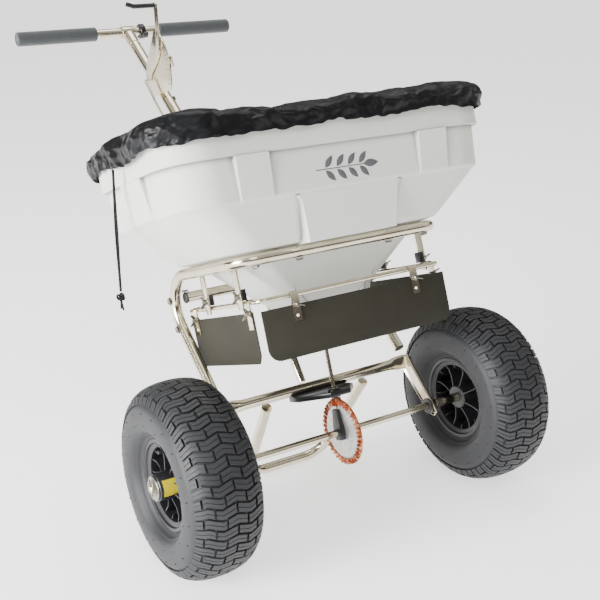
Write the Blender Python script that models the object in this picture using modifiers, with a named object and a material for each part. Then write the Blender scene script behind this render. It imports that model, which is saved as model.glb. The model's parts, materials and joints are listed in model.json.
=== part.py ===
"""A push broadcast spreader: hopper, tube frame, two pneumatic wheels, geared spinner, handle.

The machine is modelled level, with its origin on the axle's centre line, +X to its right, +Y to
the rear and +Z up. One empty then leans it back onto its stand, so that it rests as parked.
"""

import math

import bmesh
import bpy
from mathutils import Matrix, Vector

# Driving dimensions, in metres and degrees.
AXLE_HEIGHT = 0.165
LEAN_DEG = 21.2
SHIFT_Y = -0.3508
GAP = 0.0003

TYRE_RADIUS = AXLE_HEIGHT
TYRE_WIDTH = 0.130
TRACK = 0.607
RIM_RADIUS = 0.079
RIM_WIDTH = 0.093
HUB_RADIUS = 0.0240
HUB_INNER = 0.0405
HUB_OUTER = 0.0625
AXLE_RADIUS = 0.00635
AXLE_HALF = 0.3745
BORE_RADIUS = AXLE_RADIUS + GAP
WASHER_RADIUS = 0.0210
WASHER_THICK = 0.0025
SPACER_RADIUS = 0.0085

TUBE_RADIUS = 0.010
FRAME_HALF = 0.200
RAIL_Z = 0.329
RAIL_FRONT = -0.125
LEG_FOOT = (0.0645, 0.1105)
LEG_TOP_Y = 0.198

CROSS_Y = 0.050
CROSS_Z = 0.086
REAR_TUBE = (0.125, 0.288)
MEMBER_RADIUS = 0.0095
STRUT_RADIUS = 0.0075
HANGER_THICK = 0.008
BUSH_RADIUS = 0.0105
BUSH_FLANGE = 0.0145

ROD_HALF = 0.182
ROD_FRONT = -0.130
ROD_REAR = 0.128
ROD_Z = 0.262
ROD_RADIUS = 0.004
PLATE_THICK = 0.002
PLATE_TOP = 0.246
PLATE_BOTTOM = 0.162

BAR_Y = 0.571
BAR_Z = 0.883
BAR_HALF = 0.245
BAR_RADIUS = 0.0095
STEM_RADIUS = 0.0125
STEM_WALL = 0.0015
STEM_BOTTOM_Z = 0.298
STEM_JOINT_Z = 0.700
STEM_TOP_Z = BAR_Z - 0.0225
STEM_SLOPE = 0.741
GRIP_CENTRE = 0.1625
GRIP_RADIUS = 0.0150
GRIP_HALF = 0.088
PIVOT = (0.462, 0.765)
ROD_WIRE = 0.0025

SHAFT_RADIUS = 0.004
IMPELLER_RADIUS = 0.080
IMPELLER_Z = 0.170
GEAR_RADIUS = 0.060
GEAR_X = 0.0125
PINION_Z = 0.0546
PINION_RADIUS = 0.0095
HOPPER_WALL = 0.004

bpy.context.view_layer.update()
for old in list(bpy.data.objects):
    bpy.data.objects.remove(old, do_unlink=True)

spreader = bpy.data.collections.new("garden_spreader")
helpers = bpy.data.collections.new("cutters")
bpy.context.scene.collection.children.link(spreader)
bpy.context.scene.collection.children.link(helpers)


# Materials: one for each finish.
def material(name, colour, roughness, metallic=0.0):
    made = bpy.data.materials.new(name)
    made.use_nodes = True
    shader = made.node_tree.nodes["Principled BSDF"]
    shader.inputs["Base Color"].default_value = (*colour, 1.0)
    shader.inputs["Roughness"].default_value = roughness
    shader.inputs["Metallic"].default_value = metallic
    return made


POLYETHYLENE = material("moulded_polyethylene", (0.60, 0.60, 0.57), 0.55)
NYLON = material("coated_nylon", (0.015, 0.016, 0.018), 0.5)
STAINLESS = material("polished_stainless", (0.72, 0.68, 0.60), 0.22, 1.0)
PAINTED_SHEET = material("dark_painted_sheet", (0.05, 0.05, 0.045), 0.5)
BLACK_PLASTIC = material("black_plastic", (0.012, 0.012, 0.013), 0.45)
RUBBER = material("tyre_rubber", (0.02, 0.02, 0.022), 0.75)
FOAM = material("grey_foam", (0.05, 0.053, 0.06), 0.9)
GEAR_METAL = material("sintered_gear_steel", (0.55, 0.33, 0.20), 0.5, 1.0)


# Empties: the leaning machine, and one on the axis of each moving group.
def empty(name, location=(0, 0, 0), parent=None):
    made = bpy.data.objects.new(name, None)
    spreader.objects.link(made)
    made.location = location
    made.parent = parent
    return made


machine = empty("machine", (0, SHIFT_Y, AXLE_HEIGHT))
machine.rotation_euler.x = math.radians(-LEAN_DEG)
axle_axis = empty("axle_axis", (0, 0, 0), machine)
right_wheel_axis = empty("right_wheel_axis", (TRACK / 2, 0, 0), machine)
shaft_axis = empty("shaft_axis", (0, 0, 0), machine)
lever_axis = empty("lever_axis", (0, *PIVOT), machine)
stop_axis = empty("stop_axis", (0, *PIVOT), machine)
gate_slide = empty("gate_slide", (0, 0, 0), machine)
rod_hook = empty("rod_hook", (0, 0.170, 0.214), gate_slide)
front_flap = empty("front_flap", (0, ROD_FRONT, ROD_Z), machine)
left_flap = empty("left_flap", (-ROD_HALF, 0, ROD_Z), machine)
right_flap = empty("right_flap", (ROD_HALF, 0, ROD_Z), machine)


def place(obj, name, finish, parent=machine):
    """Name the piece, give it its finish, and hang it on an empty without moving it from the
    machine's level position."""
    obj.name = name
    obj.data.name = name
    obj.data.materials.clear()
    obj.data.materials.append(finish)
    for group in list(obj.users_collection):
        group.objects.unlink(obj)
    spreader.objects.link(obj)
    obj.parent = parent
    if parent not in (None, machine):
        hung = Vector(parent.location)
        if parent.parent not in (None, machine):
            hung += Vector(parent.parent.location)
        obj.location -= hung
    return obj


def smooth(obj, angle=40):
    obj.data.shade_smooth()
    obj.data.set_sharp_from_angle(angle=math.radians(angle))


def box(low, high):
    """A box between two corners."""
    made = bpy.data.meshes.new("box")
    shape = bmesh.new()
    bmesh.ops.create_cube(shape, size=1.0)
    size = [b - a for a, b in zip(low, high)]
    centre = [(a + b) / 2 for a, b in zip(low, high)]
    bmesh.ops.scale(shape, vec=size, verts=shape.verts)
    shape.to_mesh(made)
    shape.free()
    obj = bpy.data.objects.new("box", made)
    spreader.objects.link(obj)
    obj.location = centre
    return obj


def cylinder(centre, radius, length, axis, sides=24):
    """A cylinder along X, Y or Z."""
    made = bpy.data.meshes.new("cylinder")
    shape = bmesh.new()
    bmesh.ops.create_cone(
        shape, cap_ends=True, segments=sides, radius1=radius, radius2=radius, depth=length
    )
    turn = {"X": Matrix.Rotation(math.pi / 2, 4, "Y"), "Y": Matrix.Rotation(math.pi / 2, 4, "X")}
    bmesh.ops.transform(shape, matrix=turn.get(axis, Matrix()), verts=shape.verts)
    shape.to_mesh(made)
    shape.free()
    made.shade_smooth()
    made.set_sharp_from_angle(angle=math.radians(40))
    obj = bpy.data.objects.new("cylinder", made)
    spreader.objects.link(obj)
    obj.location = centre
    return obj


def cut(obj, cutter):
    """Take the cutter's shape out of a piece."""
    helpers.objects.link(cutter)
    spreader.objects.unlink(cutter)
    cutter.hide_render = True
    cutter.display_type = "WIRE"
    cutter.parent = obj.parent
    if obj.parent not in (None, machine):
        cutter.location -= Vector(obj.parent.location)
    step = obj.modifiers.new("cut", "BOOLEAN")
    step.operation = "DIFFERENCE"
    step.object = cutter
    return obj


def rounded_path(corners, radius, steps=5):
    """The corner points with each inner corner turned into an arc."""
    points = [Vector(corners[0])]
    radii = radius if isinstance(radius, (list, tuple)) else [radius] * (len(corners) - 2)
    for before, corner, after, bend in zip(corners, corners[1:], corners[2:], radii):
        corner = Vector(corner)
        inward = (Vector(before) - corner).normalized()
        outward = (Vector(after) - corner).normalized()
        half = inward.angle(outward) / 2
        reach = bend / math.tan(half)
        middle = corner + (inward + outward).normalized() * bend / math.sin(half)
        start = corner + inward * reach - middle
        end = corner + outward * reach - middle
        for step in range(steps + 1):
            points.append(middle + start.slerp(end, step / steps) * bend)
    points.append(Vector(corners[-1]))
    return points


def tube(points, radius, resolution=2):
    """A round bar or tube along points."""
    path = bpy.data.curves.new("tube", "CURVE")
    path.dimensions = "3D"
    path.bevel_depth = radius
    path.bevel_resolution = resolution
    path.use_fill_caps = True
    line = path.splines.new("POLY")
    line.points.add(len(points) - 1)
    for slot, point in zip(line.points, points):
        slot.co = (*point, 1.0)
    obj = bpy.data.objects.new("tube", path)
    spreader.objects.link(obj)
    return obj


def as_mesh(obj):
    """The curve made a welded mesh, which a Boolean can work on."""
    bpy.context.view_layer.update()
    graph = bpy.context.evaluated_depsgraph_get()
    mesh = bpy.data.meshes.new_from_object(obj.evaluated_get(graph))
    shape = bmesh.new()
    shape.from_mesh(mesh)
    bmesh.ops.remove_doubles(shape, verts=shape.verts, dist=0.00001)
    bmesh.ops.recalc_face_normals(shape, faces=shape.faces)
    shape.to_mesh(mesh)
    shape.free()
    solid = bpy.data.objects.new("solid", mesh)
    solid.matrix_world = obj.matrix_world.copy()
    spreader.objects.link(solid)
    bpy.data.objects.remove(obj, do_unlink=True)
    return solid


def outline(points, thickness, location, rotation_deg):
    """A flat piece: its outline in its own XY plane, its thickness along its own Z."""
    path = bpy.data.curves.new("outline", "CURVE")
    path.dimensions = "2D"
    path.fill_mode = "BOTH"
    path.extrude = thickness / 2
    line = path.splines.new("POLY")
    line.use_cyclic_u = True
    line.points.add(len(points) - 1)
    for slot, point in zip(line.points, points):
        slot.co = (*point, 0.0, 1.0)
    obj = bpy.data.objects.new("outline", path)
    spreader.objects.link(obj)
    obj.location = location
    obj.rotation_euler = [math.radians(turn) for turn in rotation_deg]
    return obj


def turned(profile, steps):
    """A piece turned about the X axis: (radius, x) pairs down its outer side, then back."""
    mesh = bpy.data.meshes.new("turned")
    shape = bmesh.new()
    corners = [shape.verts.new((radius, 0, along)) for radius, along in profile]
    for first, second in zip(corners, corners[1:] + corners[:1]):
        shape.edges.new((first, second))
    shape.to_mesh(mesh)
    shape.free()
    obj = bpy.data.objects.new("turned", mesh)
    spreader.objects.link(obj)
    obj.rotation_euler.y = math.pi / 2
    screw = obj.modifiers.new("turn", "SCREW")
    screw.steps = steps
    screw.render_steps = steps
    screw.use_smooth_shade = True
    screw.use_merge_vertices = True
    screw.merge_threshold = 0.0001
    return obj


def arc(centre, radius, start_deg, end_deg, steps):
    """Points on an arc in a plane."""
    turns = [math.radians(start_deg + (end_deg - start_deg) * k / steps) for k in range(steps + 1)]
    return [(centre[0] + radius * math.cos(t), centre[1] + radius * math.sin(t)) for t in turns]


# Hopper: a moulded tub that steps in at a ledge and narrows to a square outlet.
def level(half_width, front, rear, radius, height, steps=4):
    """A rectangle with round corners, seen from above."""
    points = []
    corners = (
        (half_width - radius, rear - radius, 0),
        (-half_width + radius, rear - radius, 90),
        (-half_width + radius, front + radius, 180),
        (half_width - radius, front + radius, 270),
    )
    for x, y, turn in corners:
        points += [(*p, height) for p in arc((x, y), radius, turn, turn + 90, steps)]
    return points


def loft(levels, closed_top=False):
    """An open skin through levels listed from the bottom up."""
    mesh = bpy.data.meshes.new("loft")
    shape = bmesh.new()
    rings = [[shape.verts.new(point) for point in ring] for ring in levels]
    for lower, upper in zip(rings, rings[1:]):
        count = len(lower)
        for k in range(count):
            after = (k + 1) % count
            shape.faces.new((lower[k], lower[after], upper[after], upper[k]))
    if closed_top:
        shape.faces.new(rings[-1])
    bmesh.ops.recalc_face_normals(shape, faces=shape.faces)
    shape.to_mesh(mesh)
    shape.free()
    obj = bpy.data.objects.new("loft", mesh)
    spreader.objects.link(obj)
    return obj


def shell(obj, thickness):
    wall = obj.modifiers.new("wall", "SOLIDIFY")
    wall.thickness = thickness
    wall.offset = -1.0
    wall.use_even_offset = True
    return obj


hopper = loft([
    level(0.050, -0.048, 0.048, 0.012, 0.222),
    level(0.184, -0.111, 0.100, 0.040, 0.338),
    level(0.212, -0.138, 0.120, 0.050, 0.344),
    level(0.222, -0.146, 0.124, 0.055, 0.352),
    level(0.298, -0.174, 0.134, 0.072, 0.414),
    level(0.305, -0.180, 0.139, 0.075, 0.420),
    level(0.309, -0.184, 0.149, 0.075, 0.487),
    level(0.316, -0.190, 0.156, 0.075, 0.491),
    level(0.316, -0.190, 0.156, 0.075, 0.545),
])
place(shell(hopper, HOPPER_WALL), "hopper", POLYETHYLENE)
smooth(hopper)

hopper_cover = loft([
    level(0.329, -0.203, 0.169, 0.085, 0.516),
    level(0.331, -0.205, 0.171, 0.085, 0.538),
    level(0.326, -0.200, 0.166, 0.083, 0.552),
    level(0.290, -0.165, 0.130, 0.070, 0.561),
    level(0.160, -0.080, 0.060, 0.040, 0.566),
], closed_top=True)
place(shell(hopper_cover, HOPPER_WALL), "hopper_cover", NYLON)
smooth(hopper_cover, 60)

# Outlet floor with two ports, and the gate that slides under it.
outlet_floor = box((-0.055, -0.053, 0.2180), (0.055, 0.053, 0.2217))
place(outlet_floor, "outlet_floor", STAINLESS)
cut(outlet_floor, cylinder((0, 0, 0.22), 0.0055, 0.03, "Z", 12))
for side in (-1, 1):
    port = box((side * 0.026 - 0.012, -0.016, 0.21), (side * 0.026 + 0.012, 0.016, 0.23))
    cut(outlet_floor, port)

gate = as_mesh(outline(
    [
        (-0.045, -0.060), (0.045, -0.060), (0.045, 0.050), (0.010, 0.058),
        (0.010, 0.178), (-0.010, 0.178), (-0.010, 0.058), (-0.045, 0.050),
    ],
    0.003, (0, 0, 0.2162), (0, 0, 0),
))
place(gate, "shutter_gate", STAINLESS, gate_slide)
cut(gate, box((-0.0055, -0.045, 0.20), (0.0055, 0.010, 0.23)))
for side in (-1, 1):
    port = box((side * 0.026 - 0.012, -0.054, 0.20), (side * 0.026 + 0.012, -0.020, 0.23))
    cut(gate, port)

for name, side in (("left_gate_runner", -1), ("right_gate_runner", 1)):
    runner = outline(
        [
            (-0.0030, 0), (0.0120, 0), (0.0120, 0.0068), (0.0095, 0.0068),
            (0.0095, 0.0022), (-0.003, 0.0022),
        ],
        0.100, (side * 0.0465, 0, 0.2122), (90, 0, 0 if side > 0 else 180),
    )
    place(runner, name, STAINLESS)

# Frame: one bent tube makes both legs, both rails and the front hoop.
frame_corners = [
    (-FRAME_HALF, *LEG_FOOT),
    (-FRAME_HALF, LEG_TOP_Y, RAIL_Z),
    (-FRAME_HALF, RAIL_FRONT, RAIL_Z),
    (FRAME_HALF, RAIL_FRONT, RAIL_Z),
    (FRAME_HALF, LEG_TOP_Y, RAIL_Z),
    (FRAME_HALF, *LEG_FOOT),
]
frame_path = rounded_path(frame_corners, [0.060, 0.040, 0.040, 0.060], 6)
place(tube(frame_path, TUBE_RADIUS, 4), "frame_tube", STAINLESS)

# Axle hangers: flattened bars that carry the bushes, bolted to the cross member and legs.
for name, side in (("left_axle_hanger", -1), ("right_axle_hanger", 1)):
    hanger = outline(
        [
            (-0.019, -0.012), (-0.010, -0.020), (0.008, -0.014),
            (0.066, 0.078), (0.062, 0.098), (0.044, 0.098),
        ],
        HANGER_THICK, (side * FRAME_HALF, 0, 0), (90, 0, 90),
    )
    place(as_mesh(hanger), name, STAINLESS)
    hole = cylinder((side * FRAME_HALF, 0, 0), BUSH_RADIUS + GAP, 0.03, "X", 24)
    cut(bpy.data.objects[name], hole)
    bush_name = name.replace("_hanger", "_bush")
    bush = turned(
        [
            (BUSH_RADIUS, 0.0046), (BUSH_RADIUS, -0.0080), (BORE_RADIUS, -0.0080),
            (BORE_RADIUS, 0.0086), (BUSH_FLANGE, 0.0086), (BUSH_FLANGE, 0.0046),
        ], 24,
    )
    bush.location = (side * FRAME_HALF, 0, 0)
    if side > 0:
        bush.rotation_euler.y = -math.pi / 2
    place(bush, bush_name, BLACK_PLASTIC)

cross_length = 2 * (FRAME_HALF - 0.0045)
cross_member = cylinder((0, CROSS_Y, CROSS_Z), MEMBER_RADIUS, cross_length, "X", 16)
place(cross_member, "cross_member", STAINLESS)

rear_length = 2 * (FRAME_HALF - TUBE_RADIUS - 0.001)
rear_tube = cylinder((0, *REAR_TUBE), MEMBER_RADIUS, rear_length, "X", 16)
place(rear_tube, "rear_cross_tube", STAINLESS)

strut_path = [(-0.027, 0.060, 0.0960), (-0.027, 0.1215, 0.2765)]
place(tube(strut_path, STRUT_RADIUS, 4), "centre_strut", STAINLESS)

# Stand: a U of tube that the parked machine leans back on.
STAND_TOP = (0.066, 0.068)
STAND_FOOT = (0.242, -0.0724)
stand_path = rounded_path([
    (-0.105, *STAND_TOP), (-0.085, *STAND_FOOT), (0.085, *STAND_FOOT), (0.105, *STAND_TOP)
], 0.045, 5)
place(tube(stand_path, MEMBER_RADIUS, 4), "stand", STAINLESS)

# Spinner drive: crown gear on the axle, pinion, shaft, bearing plate, spinner and agitator.
drive_gear = turned([
    (GEAR_RADIUS - 0.014, -0.0020), (GEAR_RADIUS - 0.012, -0.0035), (GEAR_RADIUS, -0.0035),
    (GEAR_RADIUS, 0.0020), (0.0140, 0.0020), (0.0140, 0.0140),
    (BORE_RADIUS, 0.0140), (BORE_RADIUS, -0.0020),
][::-1], 40)
drive_gear.location.x = GEAR_X + 0.001
place(drive_gear, "drive_gear", GEAR_METAL, axle_axis)

pinion = cylinder((0, 0, PINION_Z), PINION_RADIUS, 0.014, "Z", 12)
place(pinion, "pinion", GEAR_METAL, shaft_axis)
cut(pinion, cylinder((0, 0, PINION_Z), SHAFT_RADIUS + GAP, 0.03, "Z", 12))

shaft_foot = box((-0.0110, -0.013, -0.0140), (0.0110, 0.013, 0.0440))
place(shaft_foot, "shaft_foot", BLACK_PLASTIC)
cut(shaft_foot, cylinder((0, 0, 0), BORE_RADIUS, 0.05, "X", 24))
cut(shaft_foot, cylinder((0, 0, 0.0500), SHAFT_RADIUS + GAP, 0.050, "Z", 12))

shaft_bearing = outline(
    [
        (-0.060, 0.062), (-0.060, 0.030), (-0.020, -0.022),
        (0.020, -0.022), (0.060, 0.030), (0.060, 0.062),
    ],
    0.010, (0, 0, 0.0712), (0, 0, 0),
)
place(as_mesh(shaft_bearing), "shaft_bearing", BLACK_PLASTIC)
cut(bpy.data.objects["shaft_bearing"], cylinder((0, 0, 0.07), SHAFT_RADIUS + GAP, 0.03, "Z", 16))

place(cylinder((0, 0, 0.143), SHAFT_RADIUS, 0.234, "Z", 12), "spinner_shaft", STAINLESS, shaft_axis)

hub = cylinder((0, 0, IMPELLER_Z + 0.004), 0.014, 0.016, "Z", 16)
disc = cylinder((0, 0, IMPELLER_Z), IMPELLER_RADIUS, 0.003, "Z", 40)
place(disc, "spinner_disc", BLACK_PLASTIC, shaft_axis)


def join(obj, other):
    """Union a helper solid into a piece."""
    cut(obj, other)
    obj.modifiers[-1].operation = "UNION"


join(disc, hub)
for k in range(4):
    fin = box((0.010, -0.0015, IMPELLER_Z), (IMPELLER_RADIUS - 0.002, 0.0015, IMPELLER_Z + 0.014))
    fin.rotation_euler.z = math.pi / 2 * k + 0.3
    centre = Vector((IMPELLER_RADIUS / 2 + 0.004, 0, IMPELLER_Z + 0.007))
    centre.rotate(fin.rotation_euler)
    fin.location = centre
    join(disc, fin)
cut(disc, cylinder((0, 0, IMPELLER_Z), SHAFT_RADIUS + GAP, 0.06, "Z", 12))

agitator = cylinder((0, 0, 0.2490), 0.0085, 0.016, "Z", 12)
place(agitator, "agitator", STAINLESS, shaft_axis)
arm_path = [(-0.030, 0, 0.2440), (-0.008, 0, 0.2490), (0.008, 0, 0.2490), (0.030, 0, 0.2540)]
join(agitator, as_mesh(tube(arm_path, 0.0025)))
cut(agitator, cylinder((0, 0, 0.249), SHAFT_RADIUS + GAP, 0.06, "Z", 12))


# Wheels: a moulded rim turned in one piece, and a tyre whose casing is open towards the rim.
def wheel(side, parent):
    name = "left" if side < 0 else "right"
    half = RIM_WIDTH / 2
    rim = turned([
        (HUB_RADIUS, -HUB_INNER), (HUB_RADIUS, -0.004), (0.064, -0.004), (0.064, -half),
        (RIM_RADIUS, -half), (RIM_RADIUS, 0.0035 - half), (0.070, 0.008 - half),
        (0.070, half - 0.008), (RIM_RADIUS, half - 0.0035), (RIM_RADIUS, half),
        (0.064, half), (0.064, 0.004), (HUB_RADIUS, 0.004), (HUB_RADIUS, HUB_OUTER),
        (BORE_RADIUS, HUB_OUTER), (BORE_RADIUS, -HUB_INNER),
    ][::-1], 20)
    section = TYRE_WIDTH / 2
    outer = [
        (0.0705, half - 0.0088), (0.0795, half - 0.0040), (0.086, half + 0.010), (0.104, section),
        (0.122, section - 0.0005), (0.142, section - 0.007), (0.156, section - 0.019),
        (0.1625, section - 0.037), (TYRE_RADIUS, 0.0),
    ]
    inner = [
        (0.0705, half - 0.016), (0.082, half - 0.010), (0.102, section - 0.008),
        (0.124, section - 0.009), (0.144, section - 0.018), (0.154, section - 0.036), (0.156, 0.0),
    ]
    outer += [(r, -x) for r, x in reversed(outer[:-1])]
    inner = [(r, -x) for r, x in inner] + [(r, x) for r, x in reversed(inner[:-1])]
    tyre = turned(outer + inner, 36)
    for piece, kind, finish in ((rim, "rim", BLACK_PLASTIC), (tyre, "tyre", RUBBER)):
        piece.location.x = side * TRACK / 2
        if side < 0:
            piece.rotation_euler.y = -math.pi / 2
        place(piece, f"{name}_{kind}", finish, parent)
    washer = turned([
        (WASHER_RADIUS, 0.0), (WASHER_RADIUS, WASHER_THICK),
        (BORE_RADIUS, WASHER_THICK), (BORE_RADIUS, 0.0),
    ][::-1], 24)
    washer.location.x = side * (TRACK / 2 + HUB_OUTER + GAP)
    if side < 0:
        washer.rotation_euler.y = -math.pi / 2
    place(washer, f"{name}_washer", STAINLESS, axle_axis)
    spacer_end = TRACK / 2 - HUB_INNER - GAP
    spacer = turned([
        (SPACER_RADIUS, FRAME_HALF + 0.0090), (SPACER_RADIUS, spacer_end),
        (BORE_RADIUS, spacer_end), (BORE_RADIUS, FRAME_HALF + 0.0090),
    ][::-1], 24)
    if side < 0:
        spacer.rotation_euler.y = -math.pi / 2
    place(spacer, f"{name}_spacer", STAINLESS, axle_axis)


wheel(-1, axle_axis)
wheel(1, right_wheel_axis)
place(cylinder((0, 0, 0), AXLE_RADIUS, 2 * AXLE_HALF, "X", 24), "axle", STAINLESS, axle_axis)


# Handle: a two-part stem rising from the rear cross tube to a straight bar with foam grips.
def stem_point(height, lateral=0.0):
    return (lateral, BAR_Y - STEM_SLOPE * (BAR_Z - height), height)


def stem_tube(name, low, high, radius):
    """A straight length of the stem, hollow from end to end."""
    piece = place(as_mesh(tube([stem_point(low), stem_point(high)], radius, 4)), name, STAINLESS)
    bore_ends = [stem_point(low - 0.01), stem_point(high + 0.01)]
    cut(piece, as_mesh(tube(bore_ends, radius - STEM_WALL, 4)))


stem_tube("handle_lower_tube", STEM_BOTTOM_Z, STEM_JOINT_Z - 0.001, STEM_RADIUS)
stem_tube("handle_upper_tube", STEM_JOINT_Z + 0.001, STEM_TOP_Z, STEM_RADIUS - 0.001)
handle_bar = cylinder((0, BAR_Y, BAR_Z), BAR_RADIUS, 2 * BAR_HALF, "X")
place(handle_bar, "handle_bar", STAINLESS)
cut(handle_bar, cylinder((0, BAR_Y, BAR_Z), BAR_RADIUS - STEM_WALL, 3 * BAR_HALF, "X"))
for name, side in (("left_grip", -1), ("right_grip", 1)):
    grip = turned([
        (GRIP_RADIUS, -GRIP_HALF), (GRIP_RADIUS, GRIP_HALF - 0.005), (0.0130, GRIP_HALF),
        (0.0, GRIP_HALF), (0.0, 0.0830),
        (BAR_RADIUS + GAP, 0.0830), (BAR_RADIUS + GAP, -GRIP_HALF),
    ][::-1], 20)
    grip.location = (side * GRIP_CENTRE, BAR_Y, BAR_Z)
    if side < 0:
        grip.rotation_euler.y = -math.pi / 2
    place(grip, name, FOAM)

stem_turn = math.degrees(math.atan(STEM_SLOPE))
bracket = outline(
    [
        (-0.0160, 0.0160), (-0.0160, -0.0160), (-0.0130, -0.0160), (-0.0130, 0.0130),
        (0.0130, 0.0130), (0.0130, -0.0160), (0.0160, -0.0160), (0.0160, 0.0160),
    ],
    0.070, stem_point(0.3000), (-stem_turn, 0, 0),
)
place(as_mesh(bracket), "stem_bracket", STAINLESS)
cut(bpy.data.objects["stem_bracket"], cylinder((0, *REAR_TUBE), MEMBER_RADIUS + GAP, 0.08, "X", 24))

# Gate lever: a flat bar on a pivot bolt, with a dial plate fixed to the stem beside it.
PLATE_X = -0.0140
LEVER_X = -0.0180
dial = arc((0, 0), 0.100, 128, 214, 12)
dial += [(0.000, -0.050), (0.020, -0.046), (0.030, -0.014), (0.012, 0.020)]
dial_plate = outline(dial, 0.0025, (PLATE_X, *PIVOT), (90, 0, 90))
place(as_mesh(dial_plate), "dial_plate", STAINLESS)
cut(bpy.data.objects["dial_plate"], cylinder((0, *PIVOT), SHAFT_RADIUS + GAP, 0.08, "X", 12))

lever = outline(
    [
        (-0.004, 0.009), (-0.050, 0.028), (-0.068, 0.050), (-0.089, 0.120),
        (-0.101, 0.117), (-0.080, 0.042), (-0.058, 0.014), (-0.010, -0.006),
        (0.004, -0.016), (0.012, -0.014), (0.011, -0.006), (0.008, 0.006),
    ],
    0.004, (LEVER_X, *PIVOT), (90, 0, 90),
)
place(as_mesh(lever), "gate_lever", STAINLESS, lever_axis)
cut(bpy.data.objects["gate_lever"], cylinder((0, *PIVOT), SHAFT_RADIUS + GAP, 0.08, "X", 12))
lever_grip = cylinder((-0.051, PIVOT[0] - 0.095, PIVOT[1] + 0.116), 0.0050, 0.061, "X", 16)
place(lever_grip, "lever_grip", BLACK_PLASTIC, lever_axis)
place(cylinder((-0.014, *PIVOT), SHAFT_RADIUS, 0.040, "X", 12), "lever_pivot_bolt", STAINLESS)

stop = outline(
    [(-0.060, -0.010), (-0.060, 0.004), (-0.108, 0.007), (-0.108, -0.013)], 0.003,
    (PLATE_X + 0.0032, *PIVOT), (90, 0, 90),
)
place(as_mesh(stop), "rate_stop", STAINLESS, stop_axis)

HOOK = (0.4706, 0.7515)
FOOT = (0.170, 0.2140)
rod_path = rounded_path([
    (-0.0212, *HOOK), (-0.0260, *HOOK), (-0.0260, HOOK[0] - 0.030, HOOK[1] - 0.0537),
    (0.0, FOOT[0] + 0.060, FOOT[1] + 0.108), (0.0, FOOT[0] + 0.0022, FOOT[1] + 0.0070),
], [0.002, 0.020, 0.050], 4)
place(tube(rod_path, ROD_WIRE), "control_rod", STAINLESS, rod_hook)

# Deflector: a bent rod under the rails, carried on four straps, with three hinged plates.
rod_corners = [
    (-ROD_HALF, ROD_REAR, ROD_Z), (-ROD_HALF, ROD_FRONT, ROD_Z),
    (ROD_HALF, ROD_FRONT, ROD_Z), (ROD_HALF, ROD_REAR, ROD_Z),
]
place(tube(rounded_path(rod_corners, 0.015, 4), ROD_RADIUS, 2), "deflector_rod", STAINLESS)

STRAPS = (("rear", 0.045), ("front", -0.078))
for side_name, side in (("left", -1), ("right", 1)):
    for strap_name, along in STRAPS:
        inner = side * (FRAME_HALF - TUBE_RADIUS - 0.0033)
        outer = side * (FRAME_HALF - TUBE_RADIUS - GAP)
        low = (min(inner, outer), along - 0.006, ROD_Z - 0.010)
        high = (max(inner, outer), along + 0.006, RAIL_Z)
        strap = box(low, high)
        place(strap, f"{side_name}_{strap_name}_strap", STAINLESS)

hook_profile = (
    [(-0.0061, -0.0430), (-0.0061, 0.0)]
    + arc((0, 0), 0.0061, 170, -20, 6) + arc((0, 0), 0.0043, -20, 170, 6)
    + [(-0.0043, 0.0), (-0.0043, -0.0430)]
)


def clip(name, location, turn, parent):
    piece = outline(hook_profile, 0.012, location, (90, 0, turn))
    place(piece, name, STAINLESS, parent)


def plate(name, points, location, turn, parent):
    piece = outline(points, PLATE_THICK, location, (90, 0, turn))
    place(piece, name, PAINTED_SHEET, parent)


front_outline = (
    [(-0.184, PLATE_TOP), (-0.184, PLATE_BOTTOM + 0.022)]
    + arc((-0.162, PLATE_BOTTOM + 0.022), 0.022, 180, 270, 4)
    + arc((0.162, PLATE_BOTTOM + 0.022), 0.022, 270, 360, 4) + [(0.184, PLATE_TOP)]
)
side_outline = [
    (-0.108, PLATE_TOP), (-0.108, PLATE_BOTTOM + 0.014), (-0.098, PLATE_BOTTOM), (0.122, PLATE_BOTTOM),
    (0.126, PLATE_TOP),
]
PLATE_OFFSET = 0.0030
plate("front_deflector", front_outline, (0, ROD_FRONT - PLATE_OFFSET, 0), 0, front_flap)
plate("left_deflector", side_outline, (-ROD_HALF - PLATE_OFFSET, 0, 0), 90, left_flap)
plate("right_deflector", side_outline, (ROD_HALF + PLATE_OFFSET, 0, 0), 90, right_flap)
for name, along in (("left", -0.120), ("right", 0.120)):
    clip(f"front_clip_{name}", (along, ROD_FRONT, ROD_Z), 90, front_flap)
for name, along in (("front", -0.099), ("rear", 0.104)):
    clip(f"left_clip_{name}", (-ROD_HALF, along, ROD_Z), 0, left_flap)
    clip(f"right_clip_{name}", (ROD_HALF, along, ROD_Z), 180, right_flap)

# Cover drawcord: two strands hang plumb from the hem to one knot.
lean = Matrix.Rotation(math.radians(-LEAN_DEG), 3, "X")
CORD_RADIUS = 0.0015
KNOT_DROP = 0.204
hem = lean @ Vector((-0.3365, -0.026, 0.5120)) + machine.location
for name, along in (("drawcord_front", -0.0026), ("drawcord_rear", 0.0026)):
    drops = [k / 14 for k in range(15)]
    strand = [
        (
            hem.x - 0.0008 * math.sin(math.pi * t),
            hem.y + along * (1 + 1.1 * math.sin(math.pi * t)),
            hem.z - KNOT_DROP * t,
        )
        for t in drops
    ]
    place(tube(strand, CORD_RADIUS), name, NYLON, None)
knot_mesh = bpy.data.meshes.new("cord_knot")
knot_shape = bmesh.new()
bmesh.ops.create_uvsphere(knot_shape, u_segments=12, v_segments=8, radius=1.0)
bmesh.ops.scale(knot_shape, vec=(0.0050, 0.0060, 0.0100), verts=knot_shape.verts)
knot_shape.to_mesh(knot_mesh)
knot_shape.free()
knot = bpy.data.objects.new("cord_knot", knot_mesh)
spreader.objects.link(knot)
knot.location = (hem.x, hem.y, hem.z - KNOT_DROP - 0.0105)
place(knot, "cord_knot", NYLON, None)
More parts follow.
